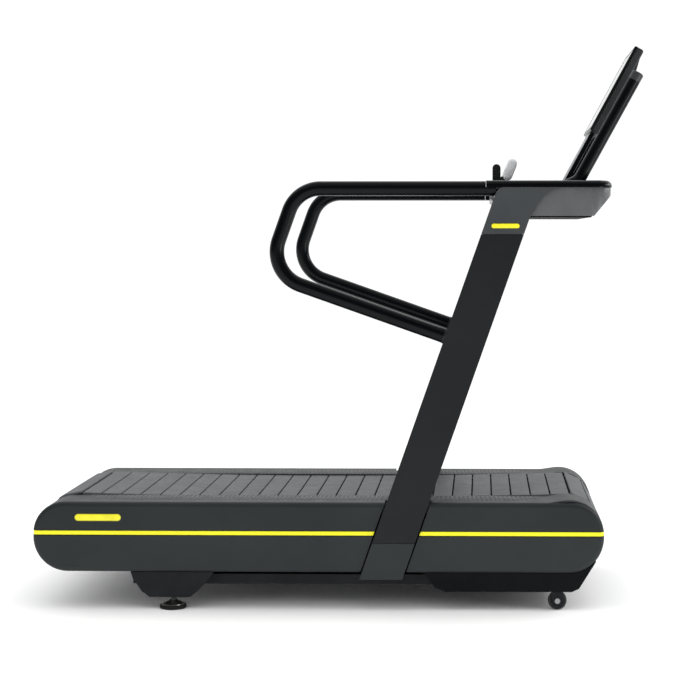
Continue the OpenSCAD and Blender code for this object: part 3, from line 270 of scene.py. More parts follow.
CAD_LOOK = {
    "upper": ("side_cover_upper_left", "side_cover_upper_right"),
    "lower": ("side_cover_lower_left", "side_cover_lower_right", "foot_cover_left", "foot_cover_right"),
    "post": ("upright_left", "upright_right"),
    "head": ("head_cover_left", "head_cover_right"),
    "console": ("console_tray",),
    "dark": ("electronics_box", "guide_rollers"),
    "under": ("console_under_cover", "front_lower_cover"),
    "steel_black": ("frame_rail_left", "frame_rail_right", "cross_members", "rear_foot_bracket_left",
                    "rear_foot_bracket_right", "wheel_brackets", "bearing_blocks", "brake_bracket"),
    "rail": ("foot_rail_left", "foot_rail_right"),
    "stripe": ("stripe_left", "stripe_right"),
    "plate": ("track_left", "track_right"),
    "belt": ("drive_belt_left", "drive_belt_right", "step_up_belt"),
    "steel": ("front_shaft", "rear_shaft", "wheel_axles", "yoke_pivot_pin"),
    "cast": ("front_pulleys", "rear_pulleys", "magnet_yoke"),
    "copper": ("brake_disc",),
    "zinc": ("foot_lock_nuts",),
    "lever": ("lever_base",),
    "tube": ("display_stand",),
}
SOFT_EDGE = {
    "upright_left": 0.0025, "upright_right": 0.0025, "foot_cover_left": 0.0025, "foot_cover_right": 0.0025,
    "head_cover_left": 0.0018, "head_cover_right": 0.0018, "console_tray": 0.003,
    "front_lower_cover": 0.003, "rear_foot_bracket_left": 0.0015, "rear_foot_bracket_right": 0.0015,
    "lever_base": 0.0015, "display_stand": 0.002, "foot_lock_nuts": 0.0006, "wheel_brackets": 0.0008,
    "foot_rail_left": 0.0012, "foot_rail_right": 0.0012, "stripe_left": 0.0007, "stripe_right": 0.0007,
    "console_under_cover": 0.0015, "bearing_blocks": 0.0015, "brake_bracket": 0.0006,
    "frame_rail_left": 0.0008, "frame_rail_right": 0.0008, "electronics_box": 0.001,
    "cross_members": 0.001, "brake_disc": 0.0005, "front_pulleys": 0.0006, "rear_pulleys": 0.0006,
}


def dress(node, material):
    mesh = nodes[node].data
    mesh.materials.clear()
    mesh.materials.append(material)


def soften(node, width):
    obj = nodes[node]
    weld = obj.modifiers.new("weld", "WELD")
    weld.merge_threshold = 0.00001
    bevel = obj.modifiers.new("edges", "BEVEL")
    bevel.width = width
    bevel.segments = 3
    bevel.limit_method = "ANGLE"
    bevel.angle_limit = math.radians(35)
    bevel.use_clamp_overlap = True
    bevel.harden_normals = True


for look, names in CAD_LOOK.items():
    for node_name in names:
        dress(node_name, M[look])
for node_name, edge_width in SOFT_EDGE.items():
    soften(node_name, edge_width)

# ---------- mesh helpers ----------

def finish_mesh(name, bm, material, sharp=30.0):
    bmesh.ops.remove_doubles(bm, verts=bm.verts, dist=0.000002)
    bmesh.ops.recalc_face_normals(bm, faces=bm.faces)
    mesh = bpy.data.meshes.new(name)
    bm.to_mesh(mesh)
    bm.free()
    for face in mesh.polygons:
        face.use_smooth = True
    mesh.set_sharp_from_angle(angle=math.radians(sharp))
    mesh.materials.append(material)
    obj = bpy.data.objects.new(name, mesh)
    bpy.context.scene.collection.objects.link(obj)
    return obj


def place(obj, body, slot, *replaced):
    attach(obj, body)
    if replaced:
        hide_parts(*replaced)
    return obj


def add_loft(bm, rings, cap_start=True, cap_end=True, loop=False):
    """Skins a list of rings of points, each ring closed."""
    layers = [[bm.verts.new(p) for p in ring] for ring in rings]
    pairs = list(zip(layers, layers[1:]))
    if loop:
        pairs.append((layers[-1], layers[0]))
    for low, high in pairs:
        count = len(low)
        for i in range(count):
            j = (i + 1) % count
            bm.faces.new((low[i], low[j], high[j], high[i]))
    if cap_start and not loop:
        bm.faces.new(list(reversed(layers[0])))
    if cap_end and not loop:
        bm.faces.new(layers[-1])


def arc(cx, cz, r, a0, a1, steps):
    """Points on an arc, angles in degrees."""
    out = []
    for i in range(steps + 1):
        a = math.radians(a0 + (a1 - a0) * i / steps)
        out.append((cx + r * math.cos(a), cz + r * math.sin(a)))
    return out


def circle(r, count):
    return arc(0, 0, r, 0, 360 - 360 / count, count - 1)


def rounded_rect(w, h, r, steps=5):
    """Rectangle of width w and height h about the origin, corners of radius r."""
    a, b = w / 2 - r, h / 2 - r
    out = []
    for cx, cz, start in ((a, b, 0), (-a, b, 90), (-a, -b, 180), (a, -b, 270)):
        out += arc(cx, cz, r, start, start + 90, steps)
    return out


def sweep_rings(path, profile, across):
    """Rings of a profile (out, along across) carried along a flat path; across is the path plane's normal."""
    rings = []
    for i, p in enumerate(path):
        before = path[max(i - 1, 0)]
        after = path[min(i + 1, len(path) - 1)]
        tangent = (after - before).normalized()
        out = tangent.cross(across)
        rings.append([p + out * u + across * v for u, v in profile])
    return rings


def bevel_edges(bm, edges, width, segments=3):
    bmesh.ops.bevel(bm, geom=edges, offset=width, segments=segments, profile=0.5, affect="EDGES",
                    clamp_overlap=True)


def sharp_edges(bm, angle=30.0):
    bmesh.ops.recalc_face_normals(bm, faces=bm.faces)
    limit = math.radians(angle)
    return [e for e in bm.edges if len(e.link_faces) == 2 and e.calc_face_angle(0) > limit]


def add_prism(bm, outline, y0, y1):
    """Extrudes an outline in X and Z between two Y values."""
    add_loft(bm, [[Vector((x, y, z)) for x, z in outline] for y in (y0, y1)])


def turned(profile, count=48):
    """Rings of a profile (radius, height) turned about local Z."""
    rings = []
    for r, z in profile:
        rings.append([Vector((x, y, z)) for x, y in circle(max(r, 0.00002), count)])
    return rings


def moved(rings, matrix):
    return [[matrix @ p for p in ring] for ring in rings]


# ---------- slats ----------

def slat_profile():
    """Half-open outline of a slat's running plate in X and Z, rounded on top."""
    half = SLAT_W / 2
    edge = 0.0022
    top = [(x, z) for x, z in arc(half - edge, SLAT_TOP - edge, edge, 0, 90, 4)]
    top += [(x, z) for x, z in arc(edge - half, SLAT_TOP - edge, edge, 90, 180, 4)]
    return top + [(-half, 0.0006), (0.0006 - half, 0), (half - 0.0006, 0), (half, 0.0006)]


def add_slat(bm, matrix):
    outline = slat_profile()
    groove = 0.0011
    levels = [(-BELT_HALF, 0.0012), (0.0012 - BELT_HALF, 0), (-groove, 0), (-groove * 0.4, 0.0012),
              (groove * 0.4, 0.0012), (groove, 0), (BELT_HALF - 0.0012, 0), (BELT_HALF, 0.0012)]
    rings = []
    for y, dip in levels:
        rings.append([Vector((x * (1 - dip * 12), y, z - dip if z > 0.003 else z)) for x, z in outline])
    add_loft(bm, moved(rings, matrix))


def add_slat_body(bm, matrix):
    half_w = 0.184
    rib = 0.005
    outline = [(0.025, 0.0), (0.0235, -SLAT_TOP), (rib, -SLAT_TOP), (rib, -0.0255), (rib - 0.0008, -0.026),
               (0.0008 - rib, -0.026), (-rib, -0.0255), (-rib, -SLAT_TOP), (-0.0235, -SLAT_TOP),
               (-0.025, 0.0)]
    rings = [[Vector((x, y, z)) for x, z in outline] for y in (-half_w, half_w)]
    add_loft(bm, moved(rings, matrix))


def deck_place(i):
    angle = -(i * PITCH + PHASE) / DECK_R
    return (Matrix.Translation(DECK_CENTRE) @ Matrix.Rotation(angle, 4, "Y")
            @ Matrix.Translation((0, 0, -DECK_R)))


def lower_place(i):
    x = DECK_CENTRE.x + i * PITCH - PHASE
    return Matrix.Translation((x, 0, FRONT_SHAFT.z - BELT_R)) @ Matrix.Rotation(math.pi, 4, "Y")


def end_place(centre, way, i):
    angle = way * (math.pi - (i + 0.5) * PITCH / BELT_R) + PHASE / BELT_R
    return (Matrix.Translation(centre) @ Matrix.Rotation(angle, 4, "Y")
            @ Matrix.Translation((0, 0, BELT_R)))


def build_slats(name, places, body, node):
    tops = bmesh.new()
    bodies = bmesh.new()
    for matrix in places:
        add_slat(tops, matrix)
        add_slat_body(bodies, matrix)
    place(finish_mesh(name + "_plates", tops, M["slat"], 40), body, "slat", node)
    place(finish_mesh(name + "_beams", bodies, M["slat_metal"], 30), body, "slat", node)


middle = (RUN_SLATS - 1) // 2
run = range(-middle, middle + 1)
build_slats("belt_upper", [deck_place(i) for i in run], "belt_upper", "slats_upper")
build_slats("belt_lower", [lower_place(i) for i in run], "belt_lower", "slats_lower")
build_slats("belt_front", [end_place(FRONT_SHAFT, 1, i) for i in range(END_SLATS)], "belt_front_end",
            "slats_front")
build_slats("belt_rear", [end_place(REAR_SHAFT, -1, i) for i in range(END_SLATS)], "belt_rear_end",
            "slats_rear")

# ---------- foot rail ribs ----------

RIB_PITCH = 0.0134
RIB_IN = BELT_HALF + 0.012
RIB_OUT = RIB_IN + 0.086
RIB_REAR = -0.768
RIB_FRONT = 0.612


def add_rib(bm, x, y0, y1, z, sign):
    w, h = 0.0038, 0.0011
    section = [(w, -0.0003), (w, h * 0.35), (w * 0.55, h), (-w * 0.55, h), (-w, h * 0.35), (-w, -0.0003)]
    rings = []
    for y, s in ((y0, 0.35), (y0 + 0.003, 1.0), (y1 - 0.003, 1.0), (y1, 0.35)):
        rings.append([Vector((x + u * s, y * sign, z + max(v * s, v if v < 0 else 0))) for u, v in section])
    add_loft(bm, rings)


def build_ribs(side, sign):
    bm = bmesh.new()
    count = int((RIB_FRONT - RIB_REAR) / RIB_PITCH)
    for i in range(count):
        x = RIB_REAR + i * RIB_PITCH
        near_front = max(0.0, (x - 0.50) / (RIB_FRONT - 0.50))
        near_rear = max(0.0, (-0.735 - x) / 0.035)
        out = RIB_OUT - 0.060 * near_front ** 2 - 0.05 * near_rear
        if POST_IN - 0.008 < out and post_x(COVER_TOP) - 0.012 < x < post_x(COVER_TOP) + POST_RUN + 0.008:
            out = POST_IN - 0.010
        add_rib(bm, x, RIB_IN, out, COVER_TOP, sign)
    place(finish_mesh("foot_rail_ribs_" + side, bm, M["rail_rib"], 50), "frame", "foot_rail")


for side, sign in SIDES:
    build_ribs(side, sign)

# ---------- handrails ----------

TUBE_R = 0.022
RAIL_Y = POST_OUT - 0.024
RAIL_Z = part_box("handrail_left")[1].z - TUBE_R
RAIL_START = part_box("handrail_left")[1].x
RAIL_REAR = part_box("handrail_left")[0].x
TOP_BEND_R = 0.100
LOW_BEND_R = 0.106
LOW_BEND = (RAIL_REAR + TUBE_R + LOW_BEND_R, RAIL_Z - 0.189)
LEAN_DEG = math.degrees(LEAN)


def handrail_path(y):
    up = (math.cos(LEAN), math.sin(LEAN))
    side = (math.sin(LEAN), -math.cos(LEAN))
    rear = (LOW_BEND[0] - LOW_BEND_R * side[0], LOW_BEND[1] - LOW_BEND_R * side[1])
    corner_x = rear[0] + up[0] * (RAIL_Z - rear[1]) / up[1]
    top_x = corner_x + TOP_BEND_R * math.tan(LEAN / 2)
    front = (LOW_BEND[0] - LOW_BEND_R * up[0], LOW_BEND[1] - LOW_BEND_R * up[1])
    reach = (post_x(front[1]) - front[0]) * math.sin(LEAN)
    flat = [(RAIL_START, RAIL_Z), (top_x + 0.15, RAIL_Z)]
    flat += arc(top_x, RAIL_Z - TOP_BEND_R, TOP_BEND_R, 90, 90 + LEAN_DEG, 26)
    flat += arc(LOW_BEND[0], LOW_BEND[1], LOW_BEND_R, 90 + LEAN_DEG, 180 + LEAN_DEG, 36)
    flat.append((front[0] + side[0] * reach * 0.5, front[1] + side[1] * reach * 0.5))
    flat.append((front[0] + side[0] * reach, front[1] + side[1] * reach))
    return [Vector((x, y, z)) for x, z in flat]


def build_handrail(side, sign):
    path = handrail_path(sign * RAIL_Y)
    bm = bmesh.new()
    add_loft(bm, sweep_rings(path, circle(TUBE_R, 48), Vector((0, 1, 0))))
    place(finish_mesh("handrail_tube_" + side, bm, M["tube"], 50), "frame", "handrail", "handrail_" + side)
    collar = bmesh.new()
    axis = (path[-2] - path[-1]).normalized()
    turn = axis.to_track_quat("Z", "Y").to_matrix().to_4x4()
    shape = [(TUBE_R + 0.0002, 0), (TUBE_R + 0.0011, 0.0006), (TUBE_R + 0.0011, 0.0042),
             (TUBE_R + 0.0002, 0.0050)]
    add_loft(collar, moved(turned(shape, 48), Matrix.Translation(path[-1]) @ turn), False, False)
    place(finish_mesh("handrail_collar_" + side, collar, M["dark"], 40), "frame", "handrail")


for side, sign in SIDES:
    build_handrail(side, sign)

# ---------- console rim ----------

RIM_LO, RIM_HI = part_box("console_rim")
RIM_W = 2 * TUBE_R
NOSE_R = 0.060


def rim_profile():
    """Rounded band, (outward, up) from its outer top edge."""
    h = RIM_HI.z - HEAD_TOP - 0.0003
    out = arc(-0.017, h - 0.017, 0.017, 0, 90, 10)
    out += arc(0.006 - RIM_W, h - 0.006, 0.006, 90, 180, 5)
    return out + [(-RIM_W, 0.0), (-0.0006, 0.0), (0.0, 0.0006)]


def rim_path(y_half):
    x1 = RIM_HI.x
    flat = [(RAIL_START + 0.0008, -y_half), (RAIL_START + 0.08, -y_half)]
    flat += arc(x1 - NOSE_R, NOSE_R - y_half, NOSE_R, -90, 0, 16)
    flat += arc(x1 - NOSE_R, y_half - NOSE_R, NOSE_R, 0, 90, 16)
    flat += [(RAIL_START + 0.08, y_half), (RAIL_START + 0.0008, y_half)]
    return [Vector((x, y, HEAD_TOP + 0.0003)) for x, y in flat]


def build_rim():
    bm = bmesh.new()
    add_loft(bm, sweep_rings(rim_path(RIM_HI.y), rim_profile(), Vector((0, 0, 1))))
    for sign in (1, -1):
        tube = [[Vector((RAIL_START + x, sign * RAIL_Y + u, RAIL_Z + v)) for u, v in circle(TUBE_R, 40)]
                for x in (0.0008, 0.03)]
        add_loft(bm, tube)
    place(finish_mesh("console_rim_band", bm, M["tube"], 40), "frame", "handrail", "console_rim")


build_rim()

# ---------- push handles ----------

HANDLE_R = 0.019
HANDLE_Y = 0.250
HANDLE_TILT = math.radians(61.15)
HANDLE_TOP = Vector((RIM_HI.x - 0.003 + 0.0914, 0, HEAD_TOP + 0.355))
HANDLE_BEND_R = 0.045
HANDLE_BEND = 40.0
HANDLE_LEN = 0.362
CAP_LEN = 0.029


def handle_path(y):
    along = Vector((math.cos(HANDLE_TILT), 0, math.sin(HANDLE_TILT)))
    side = Vector((math.sin(HANDLE_TILT), 0, -math.cos(HANDLE_TILT)))
    low = HANDLE_TOP - along * HANDLE_LEN
    centre = low - side * HANDLE_BEND_R
    start = math.degrees(HANDLE_TILT) - 90
    path = [HANDLE_TOP - along * CAP_LEN, low + along * 0.12]
    bend = arc(centre.x, centre.z, HANDLE_BEND_R, start, start - HANDLE_BEND, 14)
    path += [Vector((x, 0, z)) for x, z in bend]
    down = (path[-1] - path[-2]).normalized()
    reach = (HEAD_TOP + 0.0005 - path[-1].z) / down.z
    path.append(path[-1] + down * (reach + 0.03))
    return [Vector((p.x, y, p.z)) for p in path], along


def cut_below(bm, z):
    geometry = bm.verts[:] + bm.edges[:] + bm.faces[:]
    cut = bmesh.ops.bisect_plane(bm, geom=geometry, plane_co=(0, 0, z), plane_no=(0, 0, -1), clear_outer=True)
    edges = [e for e in cut["geom_cut"] if isinstance(e, bmesh.types.BMEdge)]
    bmesh.ops.contextual_create(bm, geom=edges)


def build_push_handle(side, sign):
    path, along = handle_path(sign * HANDLE_Y)
    bm = bmesh.new()
    add_loft(bm, sweep_rings(path, circle(HANDLE_R, 44), Vector((0, 1, 0))))
    cut_below(bm, HEAD_TOP + 0.0003)
    place(finish_mesh("push_handle_tube_" + side, bm, M["tube"], 50), "frame", "handrail", "push_handles")
    cap = bmesh.new()
    shape = [(HANDLE_R - 0.0015, 0.0002), (HANDLE_R - 0.0015, 0.0012), (HANDLE_R, 0.0016),
             (HANDLE_R, CAP_LEN - 0.007)]
    shape += arc(HANDLE_R - 0.006, CAP_LEN - 0.0065, 0.006, 0, 80, 6)
    shape.append((0, CAP_LEN - 0.0003))
    start = Vector(path[0])
    turn = along.to_track_quat("Z", "Y").to_matrix().to_4x4()
    add_loft(cap, moved(turned(shape, 48), Matrix.Translation(start) @ turn))
    place(finish_mesh("push_handle_cap_" + side, cap, M["cap"], 40), "frame", "handle_cap",
          "push_handle_caps")


for side, sign in SIDES:
    build_push_handle(side, sign)

# ---------- display ----------

DISPLAY_TILT = math.radians(61.5)
DISPLAY_W = 0.370
DISPLAY_H = 0.294
DISPLAY_T = 0.032
CORNER_R = 0.004
STAND_HALF = 0.110
STAND_BACK = 0.0085
DISPLAY_RISE = 0.164
DISPLAY_FOOT = Vector((RIM_HI.x - 0.003 - 0.053, 0, RIM_HI.z + DISPLAY_RISE))
STAND_LOW = -(DISPLAY_FOOT.z - HEAD_TOP - 0.008) / math.sin(DISPLAY_TILT)
DISPLAY = Matrix.Translation(DISPLAY_FOOT) @ Matrix.Rotation(-DISPLAY_TILT, 4, "Y")


def plate_rings(w, h, r, levels, shift=0.0):
    """Rounded plate in the display's frame: levels are (inset, height)."""
    rings = []
    for inset, z in levels:
        outline = rounded_rect(h - 2 * inset, w - 2 * inset, max(r - inset, 0.001), 6)
        rings.append([DISPLAY @ Vector((x + DISPLAY_H / 2 + shift, y, z)) for x, y in outline])
    return rings


def build_display():
    bezel = bmesh.new()
    add_loft(bezel, plate_rings(DISPLAY_W, DISPLAY_H, CORNER_R, [
        (0.0008, -0.0118), (0.0, -0.0105), (0.0, -0.0035), (0.0010, -0.0012), (0.0034, 0.0),
        (0.0120, 0.0), (0.0126, -0.0012)]), True, False)
    place(finish_mesh("display_bezel", bezel, M["bezel"], 35), "frame", "display_front", "display_screen")
    glass = bmesh.new()
    add_loft(glass, plate_rings(DISPLAY_W, DISPLAY_H, CORNER_R, [
        (0.0126, -0.0030), (0.0126, -0.0009), (0.0132, -0.0005), (0.06, -0.0005), (0.12, -0.0005)]))
    place(finish_mesh("display_glass_painted_reflection", glass, M["glass"], 35), "frame", "display_front", "display_screen")
    shell = bmesh.new()
    add_loft(shell, plate_rings(DISPLAY_W, DISPLAY_H, CORNER_R, [
        (0.0004, -0.0124), (0.0004, -0.0240), (0.0020, -0.0290), (0.0060, -0.0318), (0.012, -0.0320)]))
    place(finish_mesh("display_shell", shell, M["shell"], 35), "frame", "display_back", "display_housing")
    hump = bmesh.new()
    wedge = [(DISPLAY_H - 0.004, 0.001 - DISPLAY_T), (DISPLAY_H - 0.070, -DISPLAY_T - 0.013),
             (0.110, -DISPLAY_T - 0.022), (0.060, 0.001 - DISPLAY_T)]
    add_loft(hump, [[DISPLAY @ Vector((x, y, z)) for x, z in wedge] for y in (-0.110, 0.110)])
    bevel_edges(hump, sharp_edges(hump, 8), 0.004, 4)
    face = bmesh.new()
    edge = STAND_HALF - 0.003
    slope = [(STAND_LOW, -edge), (-0.0015, -edge), (-0.0015, edge), (STAND_LOW, edge)]
    levels = ((0.0, -STAND_BACK - 0.0004), (0.0, -STAND_BACK + 0.0006), (0.0010, -STAND_BACK + 0.0010))
    add_loft(face, [[DISPLAY @ Vector((x + (n if x == STAND_LOW else -n), y - math.copysign(n, y), z))
                     for x, y in slope] for n, z in levels])
    place(finish_mesh("display_stand_face", face, M["stand"], 35), "frame", "stand")
    place(finish_mesh("display_back_bulge", hump, M["shell"], 35), "frame", "display_back", "display_housing")


build_display()

# ---------- lever ----------

LEVER = Vector(joints["lever_tilt"]["pos_m"])
PADDLE_LOW = Vector((0.029, 0, 0.022))
PADDLE_TOP = Vector((0.044, 0, 0.059))
PADDLE_R = 0.016
PADDLE_HALF = 0.055


def build_lever():
    bm = bmesh.new()
    lean = math.degrees(math.atan2(PADDLE_TOP.z - PADDLE_LOW.z, PADDLE_TOP.x - PADDLE_LOW.x))
    rings = []
    steps = 9
    for i in range(-steps, steps + 1):
        t = i / steps
        y = PADDLE_HALF * t
        s = (1 - abs(t) ** 6) ** 0.5 if abs(t) < 1 else 0.02
        s = max(s, 0.02)
        low = (LEVER.x + PADDLE_LOW.x, LEVER.z + PADDLE_LOW.z)
        top = (LEVER.x + PADDLE_TOP.x, LEVER.z + PADDLE_TOP.z)
        mid = ((low[0] + top[0]) / 2, (low[1] + top[1]) / 2)
        outline = arc(top[0], top[1], PADDLE_R, lean - 90, lean + 90, 12)
        outline += arc(low[0], low[1], PADDLE_R, lean + 90, lean + 270, 12)
        grow = 0.72 + 0.28 * s
        rings.append([Vector((mid[0] + (x - mid[0]) * grow, y, mid[1] + (z - mid[1]) * grow))
                      for x, z in outline])
    add_loft(bm, rings)
    place(finish_mesh("lever_paddle", bm, M["grip"], 50), "resistance_lever", "lever_grip", "lever_handle")
    arms = bmesh.new()
    for sign in (1, -1):
        turn = math.atan2(PADDLE_LOW.z, PADDLE_LOW.x)
        outline = arc(0, 0, 0.011, 90, 270, 12)
        outline += [(0.024, -0.008), (0.032, -0.0065), (0.032, 0.0065), (0.024, 0.008)]
        c, d = math.cos(turn), math.sin(turn)
        spun = [(LEVER.x + x * c - z * d, LEVER.z + x * d + z * c) for x, z in outline]
        ys = sorted((sign * 0.015, sign * 0.022))
        add_prism(arms, spun, ys[0], ys[1])
    bevel_edges(arms, sharp_edges(arms, 40), 0.0012, 2)
    place(finish_mesh("lever_arms", arms, M["lever"], 35), "resistance_lever", "lever_grip", "lever_handle")


build_lever()

# ---------- fasteners ----------

def add_screw(bm, centre, normal, radius):
    """Button-head screw with a hexagonal socket."""
    turn = Vector(normal).to_track_quat("Z", "Y").to_matrix().to_4x4()
    place_at = Matrix.Translation(centre) @ turn
    head = [(radius, 0.0), (radius, radius * 0.22), (radius * 0.88, radius * 0.42),
            (radius * 0.62, radius * 0.52), (radius * 0.50, radius * 0.52)]
    rings = turned(head, 36)
    for depth in (0.50, 0.12):
        socket = []
        for i in range(36):
            a = 2 * math.pi * i / 36
            flat = radius * 0.42 / math.cos((a + math.pi / 6) % (math.pi / 3) - math.pi / 6)
            socket.append(Vector((flat * math.cos(a), flat * math.sin(a), radius * depth)))
        rings.append(socket)
    add_loft(bm, moved(rings, place_at), True, True)


def build_screws():
    bm = bmesh.new()
    seat = 0.0003
    for sign in (1, -1):
        for z in (0.40, 1.08):
            middle = post_x(z) + POST_RUN / 2
            for dx in (-0.03, 0.03):
                inner = POST_IN + 0.005 if z < HEAD_SEAM else POST_IN
                add_screw(bm, (middle + dx, sign * (inner - seat), z), (0, -sign, 0), 0.0045)
    place(finish_mesh("cover_screws", bm, M["zinc"], 35), "frame", "zinc")


build_screws()

# ---------- badges ----------

def pill_rings(w, h, levels, centre, sign):
    rings = []
    for inset, depth in levels:
        outline = rounded_rect(w - 2 * inset, h - 2 * inset, h / 2 - inset - 0.00001, 10)
        rings.append([Vector((centre[0] + x, sign * (centre[1] + depth), centre[2] + z)) for x, z in outline])
    return rings


def build_badges():
    lo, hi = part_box("badges")
    rear = (lo.x + 0.07, COVER_HI.y, COVER_TOP - 0.046)
    z = HEAD_SEAM + 0.024
    head = (post_x(z) + POST_RUN / 2, POST_OUT, z)
    for side, sign in SIDES:
        for place_name, centre, w, h in (("base", rear, 0.140, 0.022), ("head", head, 0.086, 0.016)):
            rim = bmesh.new()
            add_loft(rim, pill_rings(w, h, [(0, -0.0004), (0, 0.0007), (0.0004, 0.0011), (0.0011, 0.0011),
                                            (0.0014, 0.0006)], centre, sign))
            place(finish_mesh(f"badge_rim_{place_name}_{side}", rim, M["badge_edge"], 35), "frame", "accent",
                  "badges")
            face = bmesh.new()
            add_loft(face, pill_rings(w, h, [(0.0015, 0.0002), (0.0015, 0.0006), (0.002, 0.0009),
                                             (0.003, 0.0011), (h / 2 - 0.001, 0.0012)], centre, sign))
            place(finish_mesh(f"badge_face_{place_name}_{side}", face, M["badge"], 35), "frame", "accent",
                  "badges")


build_badges()

# ---------- feet and wheels ----------

def build_foot(side, sign):
    lo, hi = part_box("levelling_foot_" + side)
    centre = Vector(((lo.x + hi.x) / 2, (lo.y + hi.y) / 2, 0))
    r = (hi.x - lo.x) / 2
    pad = bmesh.new()
    shape = [(r - 0.006, 0.0), (r - 0.003, 0.0), (r, 0.003)]
    for i in range(3):
        z = 0.0045 + i * 0.0022
        shape += [(r, z), (r - 0.0008, z + 0.0005), (r - 0.0008, z + 0.0011), (r, z + 0.0016)]
    shape += [(r - 0.002, 0.0118), (r - 0.006, 0.0125)]
    add_loft(pad, moved(turned(shape, 64), Matrix.Translation(centre)))
    place(finish_mesh("foot_pad_" + side, pad, M["rubber"], 35), "foot_" + side, "foot_rubber",
          "levelling_foot_" + side)
    steel = bmesh.new()
    shape = [(r - 0.006, 0.0124), (r - 0.0065, 0.0145), (0.017, 0.0225), (0.0142, 0.0232), (0.0125, 0.0262),
             (0.0115, 0.0267), (0.008, 0.0267)]
    z = 0.0277
    while z < hi.z - 0.003:
        shape += [(0.008, z), (0.0072, z + 0.0009)]
        z += 0.0018
    shape += [(0.006, hi.z - 0.0002), (0.0, hi.z)]
    add_loft(steel, moved(turned(shape, 48), Matrix.Translation(centre)))
    place(finish_mesh("foot_spindle_" + side, steel, M["zinc"], 35), "foot_" + side, "foot_rubber",
          "levelling_foot_" + side)


def build_wheel(side, sign):
    lo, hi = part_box("front_wheel_" + side)
    centre = (lo + hi) / 2
    r = (hi.z - lo.z) / 2
    half = (hi.y - lo.y) / 2
    turn = Matrix.Translation(centre) @ Matrix.Rotation(math.pi / 2, 4, "X")
    tread = bmesh.new()
    shape = [(r - 0.009, -half + 0.003), (r - 0.003, -half + 0.002), (r - 0.0012, -half + 0.0035),
             (r, -half + 0.006)]
    for y in (-0.0035, 0.0, 0.0035):
        shape += [(r, y - 0.0009), (r - 0.0008, y - 0.0005), (r - 0.0008, y + 0.0005), (r, y + 0.0009)]
    shape += [(r, half - 0.006), (r - 0.0012, half - 0.0035), (r - 0.003, half - 0.002),
              (r - 0.009, half - 0.003)]
    add_loft(tread, moved(turned(shape, 72), turn), False, False, True)
    place(finish_mesh("wheel_tread_" + side, tread, M["tread"], 40), "wheel_" + side, "wheel",
          "front_wheel_" + side)
    hub = bmesh.new()
    shape = [(0.0052, -half), (0.009, -half), (0.0098, -half + 0.001), (0.0105, -0.003), (r - 0.0105, -0.003),
             (r - 0.0098, -half + 0.0015), (r - 0.0082, -half + 0.001), (r - 0.008, half - 0.001),
             (r - 0.0098, half - 0.0015), (r - 0.0105, 0.003), (0.0105, 0.003), (0.0098, half - 0.001),
             (0.009, half), (0.0052, half)]
    add_loft(hub, moved(turned(shape, 72), turn), False, False, True)
    for i in range(5):
        spin = turn @ Matrix.Rotation(math.radians(72 * i), 4, "Z")
        section = ((0.0016, 0.009), (-0.0016, 0.009), (-0.0016, -0.009), (0.0016, -0.009))
        ring = [[Vector((x, w * s, z)) for w, z in section] for x, s in ((0.0098, 1.2), (r - 0.0098, 0.8))]
        add_loft(hub, moved(ring, spin))
    place(finish_mesh("wheel_hub_" + side, hub, M["dark"], 40), "wheel_" + side, "wheel",
          "front_wheel_" + side)


for side, sign in SIDES:
    build_foot(side, sign)
    build_wheel(side, sign)

# ---------- stage, lights and camera ----------

DIFFUSE_ROOM = 1.20  # strength for diffuse light
SEEN_ROOM = 1.05  # strength of the white that the camera sees


def build_stage():
    bm = bmesh.new()
    size = 30.0
    steps = 8
    grid = [[bm.verts.new((-size + 2 * size * i / steps, -size + 2 * size * j / steps, 0))
             for i in range(steps + 1)] for j in range(steps + 1)]
    for j in range(steps):
        for i in range(steps):
            bm.faces.new((grid[j][i], grid[j][i + 1], grid[j + 1][i + 1], grid[j + 1][i]))
    floor = finish_mesh("floor", bm, surface("floor_paper", srgb(249, 249, 249), srgb(250, 250, 250), 0.9,
                                             specular=0.1, grain=50.0, depth=0.0))


def area_light(name, location, target, size_x, size_y, power):
    data = bpy.data.lights.new(name, "AREA")
    data.shape = "RECTANGLE"
    data.size = size_x
    data.size_y = size_y
    data.energy = power
    obj = bpy.data.objects.new(name, data)
    obj.location = location
    obj.rotation_euler = (Vector(target) - Vector(location)).to_track_quat("-Z", "Y").to_euler()
    obj.visible_camera = False
    bpy.context.scene.collection.objects.link(obj)


def background(tree, strength):
    node = add_node(tree, "ShaderNodeBackground")
    node.inputs["Color"].default_value = (1, 1, 1, 1)
    node.inputs["Strength"].default_value = strength
    return node


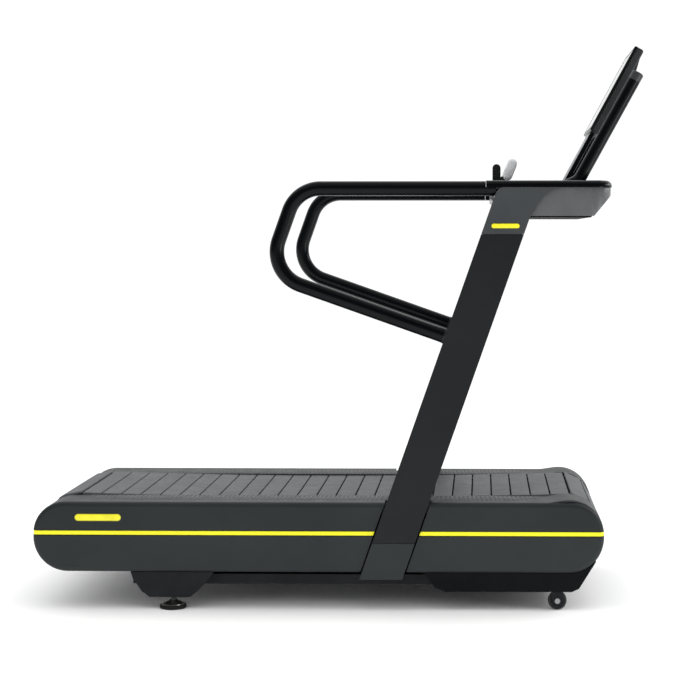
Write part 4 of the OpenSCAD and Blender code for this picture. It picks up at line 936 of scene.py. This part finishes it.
def mix_shader(tree, factor, first, second):
    node = add_node(tree, "ShaderNodeMixShader")
    tree.links.new(factor, node.inputs["Fac"])
    tree.links.new(first, node.inputs[1])
    tree.links.new(second, node.inputs[2])
    return node.outputs["Shader"]


def build_world():
    """White room behind the object, dark in front of it, so gloss shows only near the outlines."""
    world = bpy.data.worlds.new("studio")
    bpy.context.scene.world = world
    world.use_nodes = True
    tree = world.node_tree
    output = tree.nodes["World Output"]
    tree.nodes.remove(tree.nodes["Background"])
    direction = add_node(tree, "ShaderNodeSeparateXYZ")
    tree.links.new(add_node(tree, "ShaderNodeTexCoord").outputs["Generated"], direction.inputs["Vector"])
    gloss = background(tree, 1.0)
    tree.links.new(remap(tree, direction.outputs["Y"], 0.10, 1.0, -0.1, 0.6), gloss.inputs["Strength"])
    path = add_node(tree, "ShaderNodeLightPath")
    soft = mix_shader(tree, path.outputs["Is Diffuse Ray"], gloss.outputs["Background"],
                      background(tree, DIFFUSE_ROOM).outputs["Background"])
    seen = background(tree, SEEN_ROOM)
    whole = mix_shader(tree, path.outputs["Is Camera Ray"], soft, seen.outputs["Background"])
    tree.links.new(whole, output.inputs["Surface"])


def build_camera():
    data = bpy.data.cameras.new("camera")
    data.lens = 96.338
    data.sensor_width = 36.0
    data.shift_x = -0.15
    data.shift_y = -0.14
    data.clip_end = 200
    obj = bpy.data.objects.new("camera", data)
    obj.location = (0.4191, -5.8225, 1.1253)
    look = Vector((-math.tan(math.radians(1.2236)), 1, -math.tan(math.radians(0.3424))))
    obj.rotation_euler = look.to_track_quat("-Z", "Y").to_euler()
    bpy.context.scene.collection.objects.link(obj)
    bpy.context.scene.camera = obj


build_stage()
build_world()
build_camera()
area_light("top_softbox", (-0.2, 0.2, 4.2), (-0.1, 0, 0), 6.0, 6.0, 60)
area_light("front_low_card", (3.3, -1.9, 0.6), (0.7, -0.3, 1.3), 0.7, 1.2, 18)
area_light("front_strip", (3.4, 0.6, 2.2), (0.2, 0, 0.3), 2.4, 0.8, 30)
bpy.context.scene.view_settings.view_transform = "Standard"
